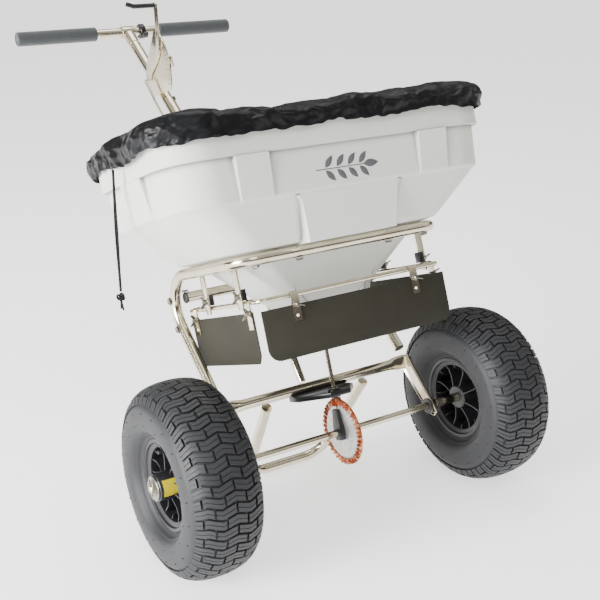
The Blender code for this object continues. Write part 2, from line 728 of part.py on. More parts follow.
bpy.context.view_layer.update()
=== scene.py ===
"""The looks of a push broadcast spreader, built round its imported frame.

Each piece is modelled level, with the axle's centre line at the origin, +X to the machine's
right and +Y to the rear, and is then leaned back onto the stand with the rest of the machine.
"""

import json
import math

import bmesh
import bpy
from mathutils import Matrix, Vector, noise


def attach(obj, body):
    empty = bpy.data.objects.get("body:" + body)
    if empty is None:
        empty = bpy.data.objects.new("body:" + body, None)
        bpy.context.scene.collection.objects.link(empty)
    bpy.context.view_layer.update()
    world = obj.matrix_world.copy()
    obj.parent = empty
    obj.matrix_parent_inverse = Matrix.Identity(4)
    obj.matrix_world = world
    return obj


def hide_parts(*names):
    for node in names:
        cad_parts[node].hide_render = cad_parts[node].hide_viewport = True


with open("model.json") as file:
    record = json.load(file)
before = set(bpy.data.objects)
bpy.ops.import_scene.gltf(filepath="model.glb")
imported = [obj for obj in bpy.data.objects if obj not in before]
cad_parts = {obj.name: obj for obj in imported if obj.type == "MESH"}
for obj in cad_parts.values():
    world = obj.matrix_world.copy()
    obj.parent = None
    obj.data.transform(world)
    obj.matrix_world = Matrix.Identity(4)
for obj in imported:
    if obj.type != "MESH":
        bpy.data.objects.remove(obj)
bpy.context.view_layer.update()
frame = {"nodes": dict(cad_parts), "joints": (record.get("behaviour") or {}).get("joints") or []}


# Parking: the machine rests on its tyres and leans back onto its stand. The axle's place and the
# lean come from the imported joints: the axle's own and the spinner shaft's, which leans with it.
joints = {joint["name"]: joint for joint in frame["joints"]}
AXLE = Vector(joints["axle_spin"]["pos_m"])
AXLE.x = 0.0
LEAN = math.atan2(joints["spinner_spin"]["axis"][1], joints["spinner_spin"]["axis"][2])
PARKED = Matrix.Translation(AXLE) @ Matrix.Rotation(-LEAN, 4, "X")


def parked(point):
    """A point given on the level machine, where it lies once the machine is parked."""
    return PARKED @ Vector(point)


# Camera: a long lens from the machine's left front, a little above the hopper's rim. It is placed
# from the axle, so it keeps the same view of the machine wherever the axle lies.
CAMERA_FROM_AXLE = Vector((-0.9717, -1.3976, 0.8790))
CAMERA_TURN_DEG = -32.29
CAMERA_DROP_DEG = 20.30
CAMERA_ROLL_DEG = -0.19
bpy.ops.object.camera_add(location=AXLE + CAMERA_FROM_AXLE)
camera = bpy.context.object
camera.data.lens = 64.03
camera.data.sensor_width = 36.0
aim = Matrix.Rotation(math.radians(CAMERA_TURN_DEG), 4, "Z")
aim = aim @ Matrix.Rotation(math.radians(90 - CAMERA_DROP_DEG), 4, "X")
aim = aim @ Matrix.Rotation(math.radians(CAMERA_ROLL_DEG), 4, "Z")
camera.rotation_euler = aim.to_euler()
bpy.context.scene.camera = camera


# Drawcord: the ends of the braided nylon cord that gathers the cover's hem. Two strands hang
# from the hem and are tied together in one overhand knot, with short tails below it.
def hexcolour(code):
    """An sRGB hex colour as the linear RGBA that a shader takes."""
    parts = [int(code[k:k + 2], 16) / 255 for k in (1, 3, 5)]
    return (*[c / 12.92 if c <= 0.04045 else ((c + 0.055) / 1.055) ** 2.4 for c in parts], 1.0)


def add(tree, kind, settings=None, links=None):
    """Add a node, set its sockets or properties, and link outputs into its sockets."""
    node = tree.nodes.new(kind)
    for key, value in (settings or {}).items():
        if isinstance(key, int) or key in node.inputs:
            node.inputs[key].default_value = value
        else:
            setattr(node, key, value)
    for key, output in (links or {}).items():
        tree.links.new(output, node.inputs[key])
    return node


def new_material(name):
    """An empty material: its node tree and its surface shader."""
    made = bpy.data.materials.new(name)
    made.use_nodes = True
    return made, made.node_tree, made.node_tree.nodes["Principled BSDF"]


def braided_polyester_cord():
    """Black braid: the plait runs round the cord as fine slanting ribs 2 mm apart."""
    made, tree, shader = new_material("braided_polyester_cord")
    where = add(tree, "ShaderNodeTexCoord").outputs["Object"]
    turned = add(tree, "ShaderNodeMapping", {"Rotation": (0.6, 0.5, 0.0)}, {"Vector": where})
    ribs = add(tree, "ShaderNodeTexWave", {"Scale": 160.0, "Distortion": 1.0, "bands_direction": "Z"},
               {"Vector": turned.outputs["Vector"]})
    tone = add(tree, "ShaderNodeValToRGB", {}, {"Fac": ribs.outputs["Fac"]})
    tone.color_ramp.elements[0].color = hexcolour("#08080a")
    tone.color_ramp.elements[1].color = hexcolour("#1a1a1c")
    raised = add(tree, "ShaderNodeBump", {"Strength": 0.6, "Distance": 0.0004},
                 {"Height": ribs.outputs["Fac"]})
    tree.links.new(tone.outputs["Color"], shader.inputs["Base Color"])
    tree.links.new(raised.outputs["Normal"], shader.inputs["Normal"])
    shader.inputs["Roughness"].default_value = 0.85
    shader.inputs["Specular IOR Level"].default_value = 0.2
    return made


CORD_BRAID = braided_polyester_cord()
CORD_RADIUS = 0.0015
KNOT_DROP = 0.204
hem = parked((-0.3365, -0.026, 0.5120))


def cord_curve(name, route, radius):
    """A smooth cord of one spline through its points."""
    path = bpy.data.curves.new(name, "CURVE")
    path.dimensions = "3D"
    path.bevel_depth = radius
    path.bevel_resolution = 4
    path.use_fill_caps = True
    line = path.splines.new("POLY")
    line.points.add(len(route) - 1)
    for slot, point in zip(line.points, route):
        slot.co = (*point, 1.0)
    cord = bpy.data.objects.new(name, path)
    bpy.context.scene.collection.objects.link(cord)
    cord.data.materials.append(CORD_BRAID)
    return cord


def overhand_knot(name, centre, size):
    """The tied lump: the cord's own line run three times round and through itself."""
    turns = [2 * math.pi * k / 70 for k in range(71)]
    trefoil = [
        centre + Vector((
            size * 0.62 * (math.sin(t) + 2 * math.sin(2 * t)) / 3,
            size * 0.62 * (math.cos(t) - 2 * math.cos(2 * t)) / 3,
            -size * 0.9 * math.sin(3 * t) / 2,
        ))
        for t in turns
    ]
    knot = cord_curve(name, trefoil, 0.0019)
    knot.data.splines[0].use_cyclic_u = True
    bpy.ops.object.select_all(action="DESELECT")
    knot.select_set(True)
    bpy.context.view_layer.objects.active = knot
    bpy.ops.object.convert(target="MESH")
    return knot


knot_centre = hem - Vector((0, 0, KNOT_DROP + 0.0105))
cord_knot = overhand_knot("drawcord_knot", knot_centre, 0.0100)
for tail_name, spread in (("drawcord_tail_front", -0.0045), ("drawcord_tail_rear", 0.0055)):
    drops = [k / 8 for k in range(9)]
    tail_route = [
        knot_centre + Vector((0.0015 * t * t, spread * t, -0.006 - 0.016 * t)) for t in drops
    ]
    tail = cord_curve(tail_name, tail_route, CORD_RADIUS)
    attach(tail, "frame")
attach(cord_knot, "frame")
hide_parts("cord_knot")
for strand_name, along in (("drawcord_front", -0.0018), ("drawcord_rear", 0.0018)):
    drops = [k / 28 for k in range(29)]
    strand_route = [
        (
            hem.x - 0.0008 * math.sin(math.pi * t),
            hem.y + along * (1 + 1.2 * math.sin(math.pi * t) ** 3),
            hem.z - KNOT_DROP * t,
        )
        for t in drops
    ]
    strand = cord_curve(strand_name + "_strand", strand_route, CORD_RADIUS)
    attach(strand, "frame")
    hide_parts(strand_name)


# Studio: a pale floor that runs out of sight, a dim room under a bright ceiling, and four soft
# boxes: a strong one at the left and weaker ones in front, at the right and overhead.
def studio_floor():
    """Matt white seamless paper with the faintest mottling."""
    made, tree, shader = new_material("seamless_paper")
    where = add(tree, "ShaderNodeTexCoord").outputs["Object"]
    mottle = add(tree, "ShaderNodeTexNoise", {"Scale": 1.5, "Detail": 2.0}, {"Vector": where})
    tone = add(tree, "ShaderNodeValToRGB", {}, {"Fac": mottle.outputs["Fac"]})
    tone.color_ramp.elements[0].color = hexcolour("#f4f4f4")
    tone.color_ramp.elements[1].color = hexcolour("#f8f8f8")
    tree.links.new(tone.outputs["Color"], shader.inputs["Base Color"])
    shader.inputs["Roughness"].default_value = 0.9
    shader.inputs["Emission Color"].default_value = (1.0, 1.0, 1.0, 1.0)
    shader.inputs["Emission Strength"].default_value = 1.2
    return made


bpy.ops.mesh.primitive_plane_add(size=400.0, location=(0, 0, 0))
floor = bpy.context.object
floor.name = "studio_floor"
floor.data.materials.append(studio_floor())

world = bpy.data.worlds.new("studio")
bpy.context.scene.world = world
world.use_nodes = True
sky = world.node_tree
backdrop = sky.nodes["Background"]
backdrop.inputs["Color"].default_value = (1.0, 1.0, 1.0, 1.0)
backdrop.inputs["Strength"].default_value = 1.85
view_direction = add(sky, "ShaderNodeTexCoord")
upward = add(sky, "ShaderNodeSeparateXYZ", {}, {"Vector": view_direction.outputs["Generated"]})
bands = add(sky, "ShaderNodeValToRGB", {}, {"Fac": upward.outputs["Z"]})
# Seen in the bright metal: a dark band at the studio's wall height under a bright ceiling.
bands.color_ramp.elements[0].color = (0.75, 0.74, 0.72, 1.0)
bands.color_ramp.elements[1].position = 1.0
bands.color_ramp.elements[1].color = (1.0, 1.0, 1.0, 1.0)
for position, grey in ((0.02, 0.30), (0.10, 0.10), (0.26, 0.13), (0.38, 0.75), (0.6, 1.0)):
    stop = bands.color_ramp.elements.new(position)
    stop.color = (grey, grey * 0.97, grey * 0.93, 1.0)
surroundings = add(sky, "ShaderNodeBackground", {"Strength": 0.75}, {"Color": bands.outputs["Color"]})
rays = add(sky, "ShaderNodeLightPath")
seen = add(sky, "ShaderNodeMixShader", {}, {
    0: rays.outputs["Is Camera Ray"], 1: surroundings.outputs["Background"],
    2: backdrop.outputs["Background"]})
sky.links.new(seen.outputs["Shader"], sky.nodes["World Output"].inputs["Surface"])


def soft_box(name, place, aim_at, size, power):
    """A square area light that faces a point."""
    bpy.ops.object.light_add(type="AREA", location=place)
    lamp = bpy.context.object
    lamp.name = name
    lamp.data.shape = "SQUARE"
    lamp.data.size = size
    lamp.data.energy = power
    lamp.rotation_euler = (Vector(place) - Vector(aim_at)).to_track_quat("Z", "Y").to_euler()


middle = (0.0, -0.15, 0.40)
soft_box("key_box", (-3.2, -0.7, 1.1), middle, 1.6, 330.0)
soft_box("front_box", (-0.9, -3.0, 3.2), middle, 1.6, 30.0)
soft_box("fill_box", (3.0, -1.2, 1.6), middle, 2.4, 9.0)
soft_box("top_box", (0.2, 0.6, 3.2), middle, 2.0, 44.0)


# Tyres: pneumatic turf tyres of moulded black rubber. Zigzag bars cross the tread, each broken
# into blocks with a thin sipe along it, and the plain sidewall has a bead ridge at the rim.
TRACK = 0.607
TYRE_RADIUS = AXLE.z
TREAD_DEPTH = 0.0042
TREAD_HALF = 0.071
BAR_PAIRS = 28
OUTER_SKIN = [  # across the tyre, from the crown to the bead: half width and radius
    (0.0, TYRE_RADIUS - 0.0002), (0.014, 0.1644), (0.028, 0.1624), (0.0395, 0.1592), (0.0485, 0.1540),
    (0.0558, 0.1460), (0.0605, 0.1365), (0.0638, 0.1250), (0.0650, 0.1130), (0.0642, 0.1010),
    (0.0600, 0.0915), (0.0535, 0.0860),
]


def open_mesh(obj):
    """Make a piece the only selected one, and enter its mesh."""
    bpy.ops.object.select_all(action="DESELECT")
    obj.select_set(True)
    bpy.context.view_layer.objects.active = obj
    bpy.ops.object.mode_set(mode="EDIT")


def close_mesh():
    """Turn every face of the mesh being edited outwards, and leave it."""
    bpy.ops.mesh.select_all(action="SELECT")
    bpy.ops.mesh.normals_make_consistent(inside=False)
    bpy.ops.object.mode_set(mode="OBJECT")


def chain(name, points):
    """A line of vertices drawn one after the other; the mesh is left open, all of it selected."""
    bpy.ops.object.select_all(action="DESELECT")
    bpy.ops.mesh.primitive_plane_add(size=0.001, location=points[0])
    obj = bpy.context.object
    obj.name = name
    bpy.ops.object.transform_apply(location=True, rotation=True, scale=True)
    bpy.ops.object.mode_set(mode="EDIT")
    bpy.ops.mesh.merge(type="CENTER")
    for here, there in zip(points, points[1:]):
        step = Vector(there) - Vector(here)
        bpy.ops.mesh.extrude_region_move(TRANSFORM_OT_translate={"value": step})
    bpy.ops.mesh.select_all(action="SELECT")
    return obj


def turned(name, profile, steps, rounding=0.0):
    """A closed (radius, x) outline spun about the X axis, its corners eased by a small bevel."""
    obj = chain(name, [(along, 0.0, radius) for radius, along in profile])
    bpy.ops.mesh.edge_face_add()
    if rounding:
        bpy.ops.mesh.bevel(offset=rounding, segments=3, affect="VERTICES", clamp_overlap=True)
    bpy.ops.mesh.delete(type="ONLY_FACE")
    bpy.ops.mesh.select_all(action="SELECT")
    bpy.ops.mesh.spin(steps=steps, angle=2 * math.pi, center=(0, 0, 0), axis=(1, 0, 0))
    bpy.ops.mesh.select_all(action="SELECT")
    bpy.ops.mesh.remove_doubles(threshold=0.00002)
    bpy.ops.mesh.delete_loose(use_verts=True, use_edges=True, use_faces=False)
    close_mesh()
    return obj


def joined(name, pieces):
    """Several level pieces made one object."""
    bpy.ops.object.select_all(action="DESELECT")
    for piece in pieces:
        piece.select_set(True)
    bpy.context.view_layer.objects.active = pieces[0]
    bpy.ops.object.join()
    pieces[0].name = name
    return pieces[0]


def park(obj, body, slot, finish, *nodes, sharp_deg=35):
    """Lean a level piece back with the machine, dress it, and let it ride on its body."""
    obj.matrix_world = PARKED @ obj.matrix_world
    bpy.ops.object.select_all(action="DESELECT")
    obj.select_set(True)
    bpy.context.view_layer.objects.active = obj
    bpy.ops.object.transform_apply(location=True, rotation=True, scale=True)
    bpy.ops.object.shade_smooth_by_angle(angle=math.radians(sharp_deg))
    obj.data.materials.clear()
    obj.data.materials.append(finish)
    obj.data.name = obj.name
    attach(obj, body)
    if nodes:
        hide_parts(*nodes)
    return obj


def both_wheels(piece, name, slot, finish, node=None, bodies=("drive_axle", "right_wheel")):
    """A piece of the right wheel, and its copy turned about for the left wheel."""
    copy = piece.copy()
    copy.data = piece.data.copy()
    bpy.context.scene.collection.objects.link(copy)
    for obj, side, body in ((copy, "left", bodies[0]), (piece, "right", bodies[1])):
        obj.name = f"{side}_{name}"
        half_turn = math.pi if side == "left" else 0.0
        hub_centre = Vector((-TRACK / 2 if side == "left" else TRACK / 2, 0, 0))
        obj.matrix_world = Matrix.Translation(hub_centre) @ Matrix.Rotation(half_turn, 4, "Z")
        park(obj, body, slot, finish, *([f"{side}_{node}"] if node else []))


def moulded_turf_rubber():
    """Black tyre rubber: satin, greyed by mould release, with a fine pebbled skin."""
    made, tree, shader = new_material("moulded_turf_rubber")
    where = add(tree, "ShaderNodeTexCoord").outputs["Object"]
    bloom = add(tree, "ShaderNodeTexNoise", {"Scale": 14.0, "Detail": 4.0}, {"Vector": where})
    tone = add(tree, "ShaderNodeValToRGB", {}, {"Fac": bloom.outputs["Fac"]})
    tone.color_ramp.elements[0].color = hexcolour("#17181a")
    tone.color_ramp.elements[1].color = hexcolour("#2a2b2e")
    pebble = add(tree, "ShaderNodeTexNoise", {"Scale": 900.0, "Detail": 2.0}, {"Vector": where})
    raised = add(tree, "ShaderNodeBump", {"Strength": 0.25, "Distance": 0.0003},
                 {"Height": pebble.outputs["Fac"]})
    dull = add(tree, "ShaderNodeMapRange", {"To Min": 0.48, "To Max": 0.66},
               {"Value": bloom.outputs["Fac"]})
    tree.links.new(tone.outputs["Color"], shader.inputs["Base Color"])
    tree.links.new(dull.outputs["Result"], shader.inputs["Roughness"])
    tree.links.new(raised.outputs["Normal"], shader.inputs["Normal"])
    shader.inputs["Specular IOR Level"].default_value = 0.45
    return made


TURF_RUBBER = moulded_turf_rubber()


def skin_point(along):
    """(half width, radius, outward normal) of the tyre's outer skin, a distance from the crown."""
    left = abs(along)
    for (x1, r1), (x2, r2) in zip(OUTER_SKIN, OUTER_SKIN[1:]):
        span = math.hypot(x2 - x1, r2 - r1)
        if left <= span or (x2, r2) == OUTER_SKIN[-1]:
            part = left / span
            side = 1 if along >= 0 else -1
            normal = ((r1 - r2) / span * side, (x2 - x1) / span)
            return side * (x1 + (x2 - x1) * part), r1 + (r2 - r1) * part, normal
        left -= span
    return None


def on_tyre(round_way, across, depth):
    """A point of the flat tread pattern wrapped onto the tyre, a depth under its skin."""
    x, radius, normal = skin_point(across)
    sunk = radius - depth * normal[1]
    turn = round_way / TYRE_RADIUS
    return Vector((x - depth * normal[0], sunk * math.sin(turn), sunk * math.cos(turn)))


def zigzag(across):
    """How far a tread bar swings round the tyre, a distance from the crown."""
    swing = [(0.0, -0.0036), (0.024, 0.0036), (0.047, -0.0036), (TREAD_HALF, 0.0030)]
    left = abs(across)
    for (s1, u1), (s2, u2) in zip(swing, swing[1:]):
        if left <= s2 + 1e-6:
            return u1 + (u2 - u1) * (left - s1) / (s2 - s1)
    return swing[-1][1]


def tread_block(name, row, start, end):
    """One block: its cross-section, with a sipe in its top, drawn along the zigzag and wrapped."""
    pitch = 2 * math.pi * TYRE_RADIUS / (2 * BAR_PAIRS)
    half, sipe = 0.43 * pitch, 0.00055
    section = [
        (-half, 0.006), (-half + 0.0004, 0.0007), (-half + 0.0012, 0.0), (-sipe, 0.0), (-sipe, 0.0016),
        (sipe, 0.0016), (sipe, 0.0), (half - 0.0012, 0.0), (half - 0.0004, 0.0007), (half, 0.006),
    ]
    obj = chain(name, [(u, start, depth) for u, depth in section])
    bpy.ops.mesh.edge_face_add()
    stops = [s for s in (-0.059, -0.047, -0.036, -0.024, -0.012, 0.0, 0.012, 0.024, 0.036, 0.047, 0.059)
             if start + 0.002 < s < end - 0.002] + [end]
    at = start
    for stop in stops:
        bpy.ops.mesh.extrude_region_move(TRANSFORM_OT_translate={"value": (0, stop - at, 0)})
        at = stop
    bpy.ops.object.mode_set(mode="OBJECT")
    for vertex in obj.data.vertices:
        u, across, depth = vertex.co
        vertex.co = on_tyre(u + row * pitch + zigzag(across), across, depth)
    return obj


blocks = []
slot_half = 0.0019
for row, cuts in ((0, (-0.036, 0.0, 0.036)), (1, (-0.055, -0.018, 0.018, 0.055))):
    edges = [-TREAD_HALF - slot_half, *cuts, TREAD_HALF + slot_half]
    for start, end in zip(edges, edges[1:]):
        blocks.append(tread_block("block", row, start + slot_half, end - slot_half))
tread = joined("tread", blocks)
open_mesh(tread)
bpy.ops.mesh.select_all(action="SELECT")
bpy.ops.mesh.spin(dupli=True, steps=BAR_PAIRS - 1, angle=2 * math.pi * (BAR_PAIRS - 1) / BAR_PAIRS,
                  center=(0, 0, 0), axis=(1, 0, 0))
close_mesh()

carcass_half = []
for k in range(23):
    across = TREAD_HALF * 1.62 * k / 22
    x, radius, normal = skin_point(across)
    sunk = TREAD_DEPTH * min(1.0, max(0.0, (TREAD_HALF + 0.005 - across) / 0.006))
    carcass_half.append((radius - sunk * normal[1], x - sunk * normal[0]))
bead = [
    (0.0900, 0.0572), (0.0880, 0.0548), (0.0866, 0.0552), (0.0852, 0.0540), (0.0838, 0.0505),
    (0.0815, 0.0480), (0.0795, 0.0470), (0.0738, 0.0400), (0.0716, 0.0372),
]
half_profile = carcass_half + [p for p in bead if p[0] < carcass_half[-1][0]]
profile = [(r, -x) for r, x in reversed(half_profile[1:])] + half_profile
carcass = turned("carcass", profile, 96)

# Small vent nibs stand in two rings on each sidewall, where the rubber filled the mould's vents.
nibs = []
for ring_radius, count, size in ((0.1045, 16, 0.0011), (0.1240, 20, 0.0013)):
    for side in (-1, 1):
        for k in range(count):
            turn = 2 * math.pi * (k + 0.3 * side) / count
            bpy.ops.mesh.primitive_cone_add(
                vertices=6, radius1=size, radius2=size * 0.4, depth=0.0024,
                location=(side * 0.0648, ring_radius * math.sin(turn), ring_radius * math.cos(turn)),
                rotation=(0, side * math.pi / 2, 0))
            nibs.append(bpy.context.object)
tyre = joined("tyre", [carcass, tread, *nibs])
both_wheels(tyre, "turf_tyre", "tyre_rubber", TURF_RUBBER, "tyre")


# Rims: one black polypropylene moulding each, with a barrel, a hub, a web between them, eight
# deep ribs and eight short fins on each face. A rubber valve stem stands in the web.
def moulded_black_polypropylene():
    """Filled black polypropylene: satin, with a faint spark-eroded mould texture."""
    made, tree, shader = new_material("moulded_black_polypropylene")
    where = add(tree, "ShaderNodeTexCoord").outputs["Object"]
    grain = add(tree, "ShaderNodeTexNoise", {"Scale": 700.0, "Detail": 3.0}, {"Vector": where})
    flow = add(tree, "ShaderNodeTexNoise", {"Scale": 9.0, "Detail": 2.0}, {"Vector": where})
    tone = add(tree, "ShaderNodeValToRGB", {}, {"Fac": flow.outputs["Fac"]})
    tone.color_ramp.elements[0].color = hexcolour("#141416")
    tone.color_ramp.elements[1].color = hexcolour("#222226")
    raised = add(tree, "ShaderNodeBump", {"Strength": 0.15, "Distance": 0.0002},
                 {"Height": grain.outputs["Fac"]})
    tree.links.new(tone.outputs["Color"], shader.inputs["Base Color"])
    tree.links.new(raised.outputs["Normal"], shader.inputs["Normal"])
    shader.inputs["Roughness"].default_value = 0.38
    return made


BLACK_POLYPROPYLENE = moulded_black_polypropylene()
RIM_HALF = 0.0465
BORE = 0.00665
barrel = turned("barrel", [
    (0.0625, -0.0400), (0.0700, -0.0425), (0.0712, RIM_HALF * -1), (0.0775, -RIM_HALF), (0.0788, -0.0440),
    (0.0700, -0.0385), (0.0700, 0.0385), (0.0788, 0.0440), (0.0775, RIM_HALF), (0.0712, RIM_HALF),
    (0.0700, 0.0425), (0.0625, 0.0400), (0.0645, 0.0), ], 96, 0.0006)
hub = turned("hub", [
    (BORE, -0.0405), (0.0205, -0.0405), (0.0222, -0.0385), (0.0240, -0.0050), (0.0240, 0.0050),
    (0.0225, 0.0605), (0.0205, 0.0625), (BORE, 0.0625)], 64, 0.0006)
web = turned("web", [
    (0.0230, -0.0040), (0.0640, -0.0060), (0.0640, 0.0020), (0.0230, 0.0040)], 64)
ribs = []
for k in range(8):
    for side in (-1, 1):
        turn = math.pi / 4 * k + (0.12 if side > 0 else 0.51)
        # A full rib: its free edge dips between hub and barrel.
        rib = chain("rib", [
            (0, 0, 0.0215), (side * 0.0390, 0, 0.0215), (side * 0.0370, 0, 0.0300),
            (side * 0.0345, 0, 0.0420), (side * 0.0345, 0, 0.0540), (side * 0.0385, 0, 0.0640),
            (0, 0, 0.0640)])
        bpy.ops.mesh.edge_face_add()
        bpy.ops.transform.translate(value=(0, -0.0012, 0))
        bpy.ops.mesh.extrude_region_move(TRANSFORM_OT_translate={"value": (0, 0.0024, 0)})
        close_mesh()
        rib.rotation_euler.x = turn
        ribs.append(rib)
        # A short fin between two ribs, leaning as it leaves the barrel.
        fin = chain("fin", [
            (0, 0, 0.0470), (side * 0.020, 0, 0.0490), (side * 0.0360, 0, 0.0560),
            (side * 0.0385, 0, 0.0640), (0, 0, 0.0640)])
        bpy.ops.mesh.edge_face_add()
        bpy.ops.transform.translate(value=(0, -0.0009, 0))
        bpy.ops.mesh.extrude_region_move(TRANSFORM_OT_translate={"value": (0, 0.0018, 0)})
        close_mesh()
        fin.rotation_euler.x = turn + math.pi / 8
        ribs.append(fin)
rim = joined("rim", [barrel, hub, web, *ribs])
bpy.ops.object.transform_apply(location=True, rotation=True, scale=True)
both_wheels(rim, "moulded_rim", "black_plastic", BLACK_POLYPROPYLENE, "rim")

valve = turned("valve", [
    (0.0, 0.000), (0.0062, 0.000), (0.0062, 0.004), (0.0040, 0.007), (0.0038, 0.022), (0.0026, 0.023),
    (0.0026, 0.028), (0.0036, 0.028), (0.0036, 0.036), (0.0, 0.037)], 24, 0.0003)
valve.location = (0.004, -0.0130, 0.0520)
open_mesh(valve)
bpy.ops.object.mode_set(mode="OBJECT")
bpy.ops.object.transform_apply(location=True, rotation=True, scale=True)
both_wheels(valve, "valve_stem", "tyre_rubber", TURF_RUBBER)


# Axle: a 12.7 mm stainless bar from wheel to wheel. A spacer tube, and outside each hub a thick
# washer and a lynch pin through the bar, keep the wheels in place.
def polished_stainless():
    """Bright drawn stainless: a warm mirror with faint draw lines and a little handling haze."""
    made, tree, shader = new_material("polished_stainless")
    where = add(tree, "ShaderNodeTexCoord").outputs["Object"]
    haze = add(tree, "ShaderNodeTexNoise", {"Scale": 22.0, "Detail": 5.0}, {"Vector": where})
    tone = add(tree, "ShaderNodeValToRGB", {}, {"Fac": haze.outputs["Fac"]})
    tone.color_ramp.elements[0].color = hexcolour("#c0b497")
    tone.color_ramp.elements[1].color = hexcolour("#e6dfcd")
    dull = add(tree, "ShaderNodeMapRange", {"To Min": 0.09, "To Max": 0.24},
               {"Value": haze.outputs["Fac"]})
    fine = add(tree, "ShaderNodeTexNoise", {"Scale": 420.0, "Detail": 3.0}, {"Vector": where})
    raised = add(tree, "ShaderNodeBump", {"Strength": 0.06, "Distance": 0.0002},
                 {"Height": fine.outputs["Fac"]})
    tree.links.new(tone.outputs["Color"], shader.inputs["Base Color"])
    tree.links.new(dull.outputs["Result"], shader.inputs["Roughness"])
    tree.links.new(raised.outputs["Normal"], shader.inputs["Normal"])
    shader.inputs["Metallic"].default_value = 1.0
    return made


def zinc_plated_steel():
    """Plated fasteners: paler and duller than the tube, spotted where the plating is thin."""
    made, tree, shader = new_material("zinc_plated_steel")
    where = add(tree, "ShaderNodeTexCoord").outputs["Object"]
    spots = add(tree, "ShaderNodeTexNoise", {"Scale": 260.0, "Detail": 4.0}, {"Vector": where})
    tone = add(tree, "ShaderNodeValToRGB", {}, {"Fac": spots.outputs["Fac"]})
    tone.color_ramp.elements[0].color = hexcolour("#504c45")
    tone.color_ramp.elements[1].color = hexcolour("#aeaaa0")
    dull = add(tree, "ShaderNodeMapRange", {"To Min": 0.22, "To Max": 0.42},
               {"Value": spots.outputs["Fac"]})
    tree.links.new(tone.outputs["Color"], shader.inputs["Base Color"])
    tree.links.new(dull.outputs["Result"], shader.inputs["Roughness"])
    shader.inputs["Metallic"].default_value = 1.0
    return made


STAINLESS = polished_stainless()
ZINC = zinc_plated_steel()
AXLE_END = 0.3745
AXLE_RADIUS = 0.00635
axle = turned("axle", [
    (0.0, -AXLE_END), (AXLE_RADIUS - 0.001, -AXLE_END), (AXLE_RADIUS, 0.001 - AXLE_END),
    (AXLE_RADIUS, AXLE_END - 0.001), (AXLE_RADIUS - 0.001, AXLE_END), (0.0, AXLE_END)], 32)
park(axle, "drive_axle", "stainless", STAINLESS, "axle")


def facing_copy(piece, name, at, facing, spin=0.0):
    """A copy with its own mesh, spun about +X, which is then turned to face a direction."""
    copy = piece.copy()
    copy.data = piece.data.copy()
    copy.name = name
    bpy.context.scene.collection.objects.link(copy)
    turn = Vector((1, 0, 0)).rotation_difference(Vector(facing)).to_matrix().to_4x4()
    copy.matrix_world = Matrix.Translation(Vector(at)) @ turn @ Matrix.Rotation(spin, 4, "X")
    return copy


washer = turned("washer", [
    (AXLE_RADIUS + 0.0003, 0.0), (0.0202, 0.0), (0.0210, 0.0007), (0.0210, 0.0019), (0.0202, 0.0025),
    (AXLE_RADIUS + 0.0003, 0.0025)], 48)
spacer_inner = 0.2090
spacer = turned("spacer", [
    (0.00665, 0.0), (0.0085, 0.0), (0.0085, 0.0537), (0.00665, 0.0537)], 32, 0.0003)
for side, side_name in ((-1, "left"), (1, "right")):
    hub_washer = facing_copy(washer, f"{side_name}_hub_washer", (side * 0.3663, 0, 0), (side, 0, 0))
    park(hub_washer, "drive_axle", "stainless", ZINC, f"{side_name}_washer")
    tube = facing_copy(spacer, f"{side_name}_spacer_tube", (side * spacer_inner, 0, 0), (side, 0, 0))
    park(tube, "drive_axle", "stainless", STAINLESS, f"{side_name}_spacer")
for spare in (washer, spacer):
    bpy.data.objects.remove(spare, do_unlink=True)


def bent(corners, bends, steps=8):
    """The corner points of a tube's centre line, with each inner corner turned into an arc."""
    route = [Vector(corners[0])]
    for before, corner, after, bend in zip(corners, corners[1:], corners[2:], bends):
        corner = Vector(corner)
        back = (Vector(before) - corner).normalized()
        ahead = (Vector(after) - corner).normalized()
        half = back.angle(ahead) / 2
        middle = corner + (back + ahead).normalized() * bend / math.sin(half)
        start = corner + back * bend / math.tan(half) - middle
        end = corner + ahead * bend / math.tan(half) - middle
        for k in range(steps + 1):
            route.append(middle + start.normalized().slerp(end.normalized(), k / steps) * bend)
    route.append(Vector(corners[-1]))
    return route


def swept(name, route, radius, resolution=6):
    """A round bar that follows a route: a drawn line given a round bevel, then made a mesh."""
    obj = chain(name, route)
    bpy.ops.object.mode_set(mode="OBJECT")
    bpy.ops.object.convert(target="CURVE")
    obj = bpy.context.object
    obj.data.bevel_depth = radius
    obj.data.bevel_resolution = resolution
    obj.data.use_fill_caps = True
    bpy.ops.object.convert(target="MESH")
    obj = bpy.context.object
    obj.name = name
    open_mesh(obj)
    bpy.ops.mesh.select_all(action="SELECT")
    bpy.ops.mesh.remove_doubles(threshold=0.00002)
    bpy.ops.mesh.normals_make_consistent(inside=False)
    bpy.ops.object.mode_set(mode="OBJECT")
    return obj


def pressed(name, outline, thickness, edge=0.0004):
    """A flat piece cut to an outline, pushed out to its thickness, its edges eased."""
    obj = chain(name, outline)
    bpy.ops.mesh.edge_face_add()
    bpy.ops.object.mode_set(mode="OBJECT")
    wall = obj.modifiers.new("thickness", "SOLIDIFY")
    wall.thickness = thickness
    wall.offset = 0.0
    bpy.ops.object.modifier_apply(modifier="thickness")
    ease = obj.modifiers.new("eased", "BEVEL")
    ease.width = edge
    ease.segments = 2
    ease.limit_method = "ANGLE"
    ease.angle_limit = math.radians(40)
    bpy.ops.object.modifier_apply(modifier="eased")
    open_mesh(obj)
    close_mesh()
    return obj


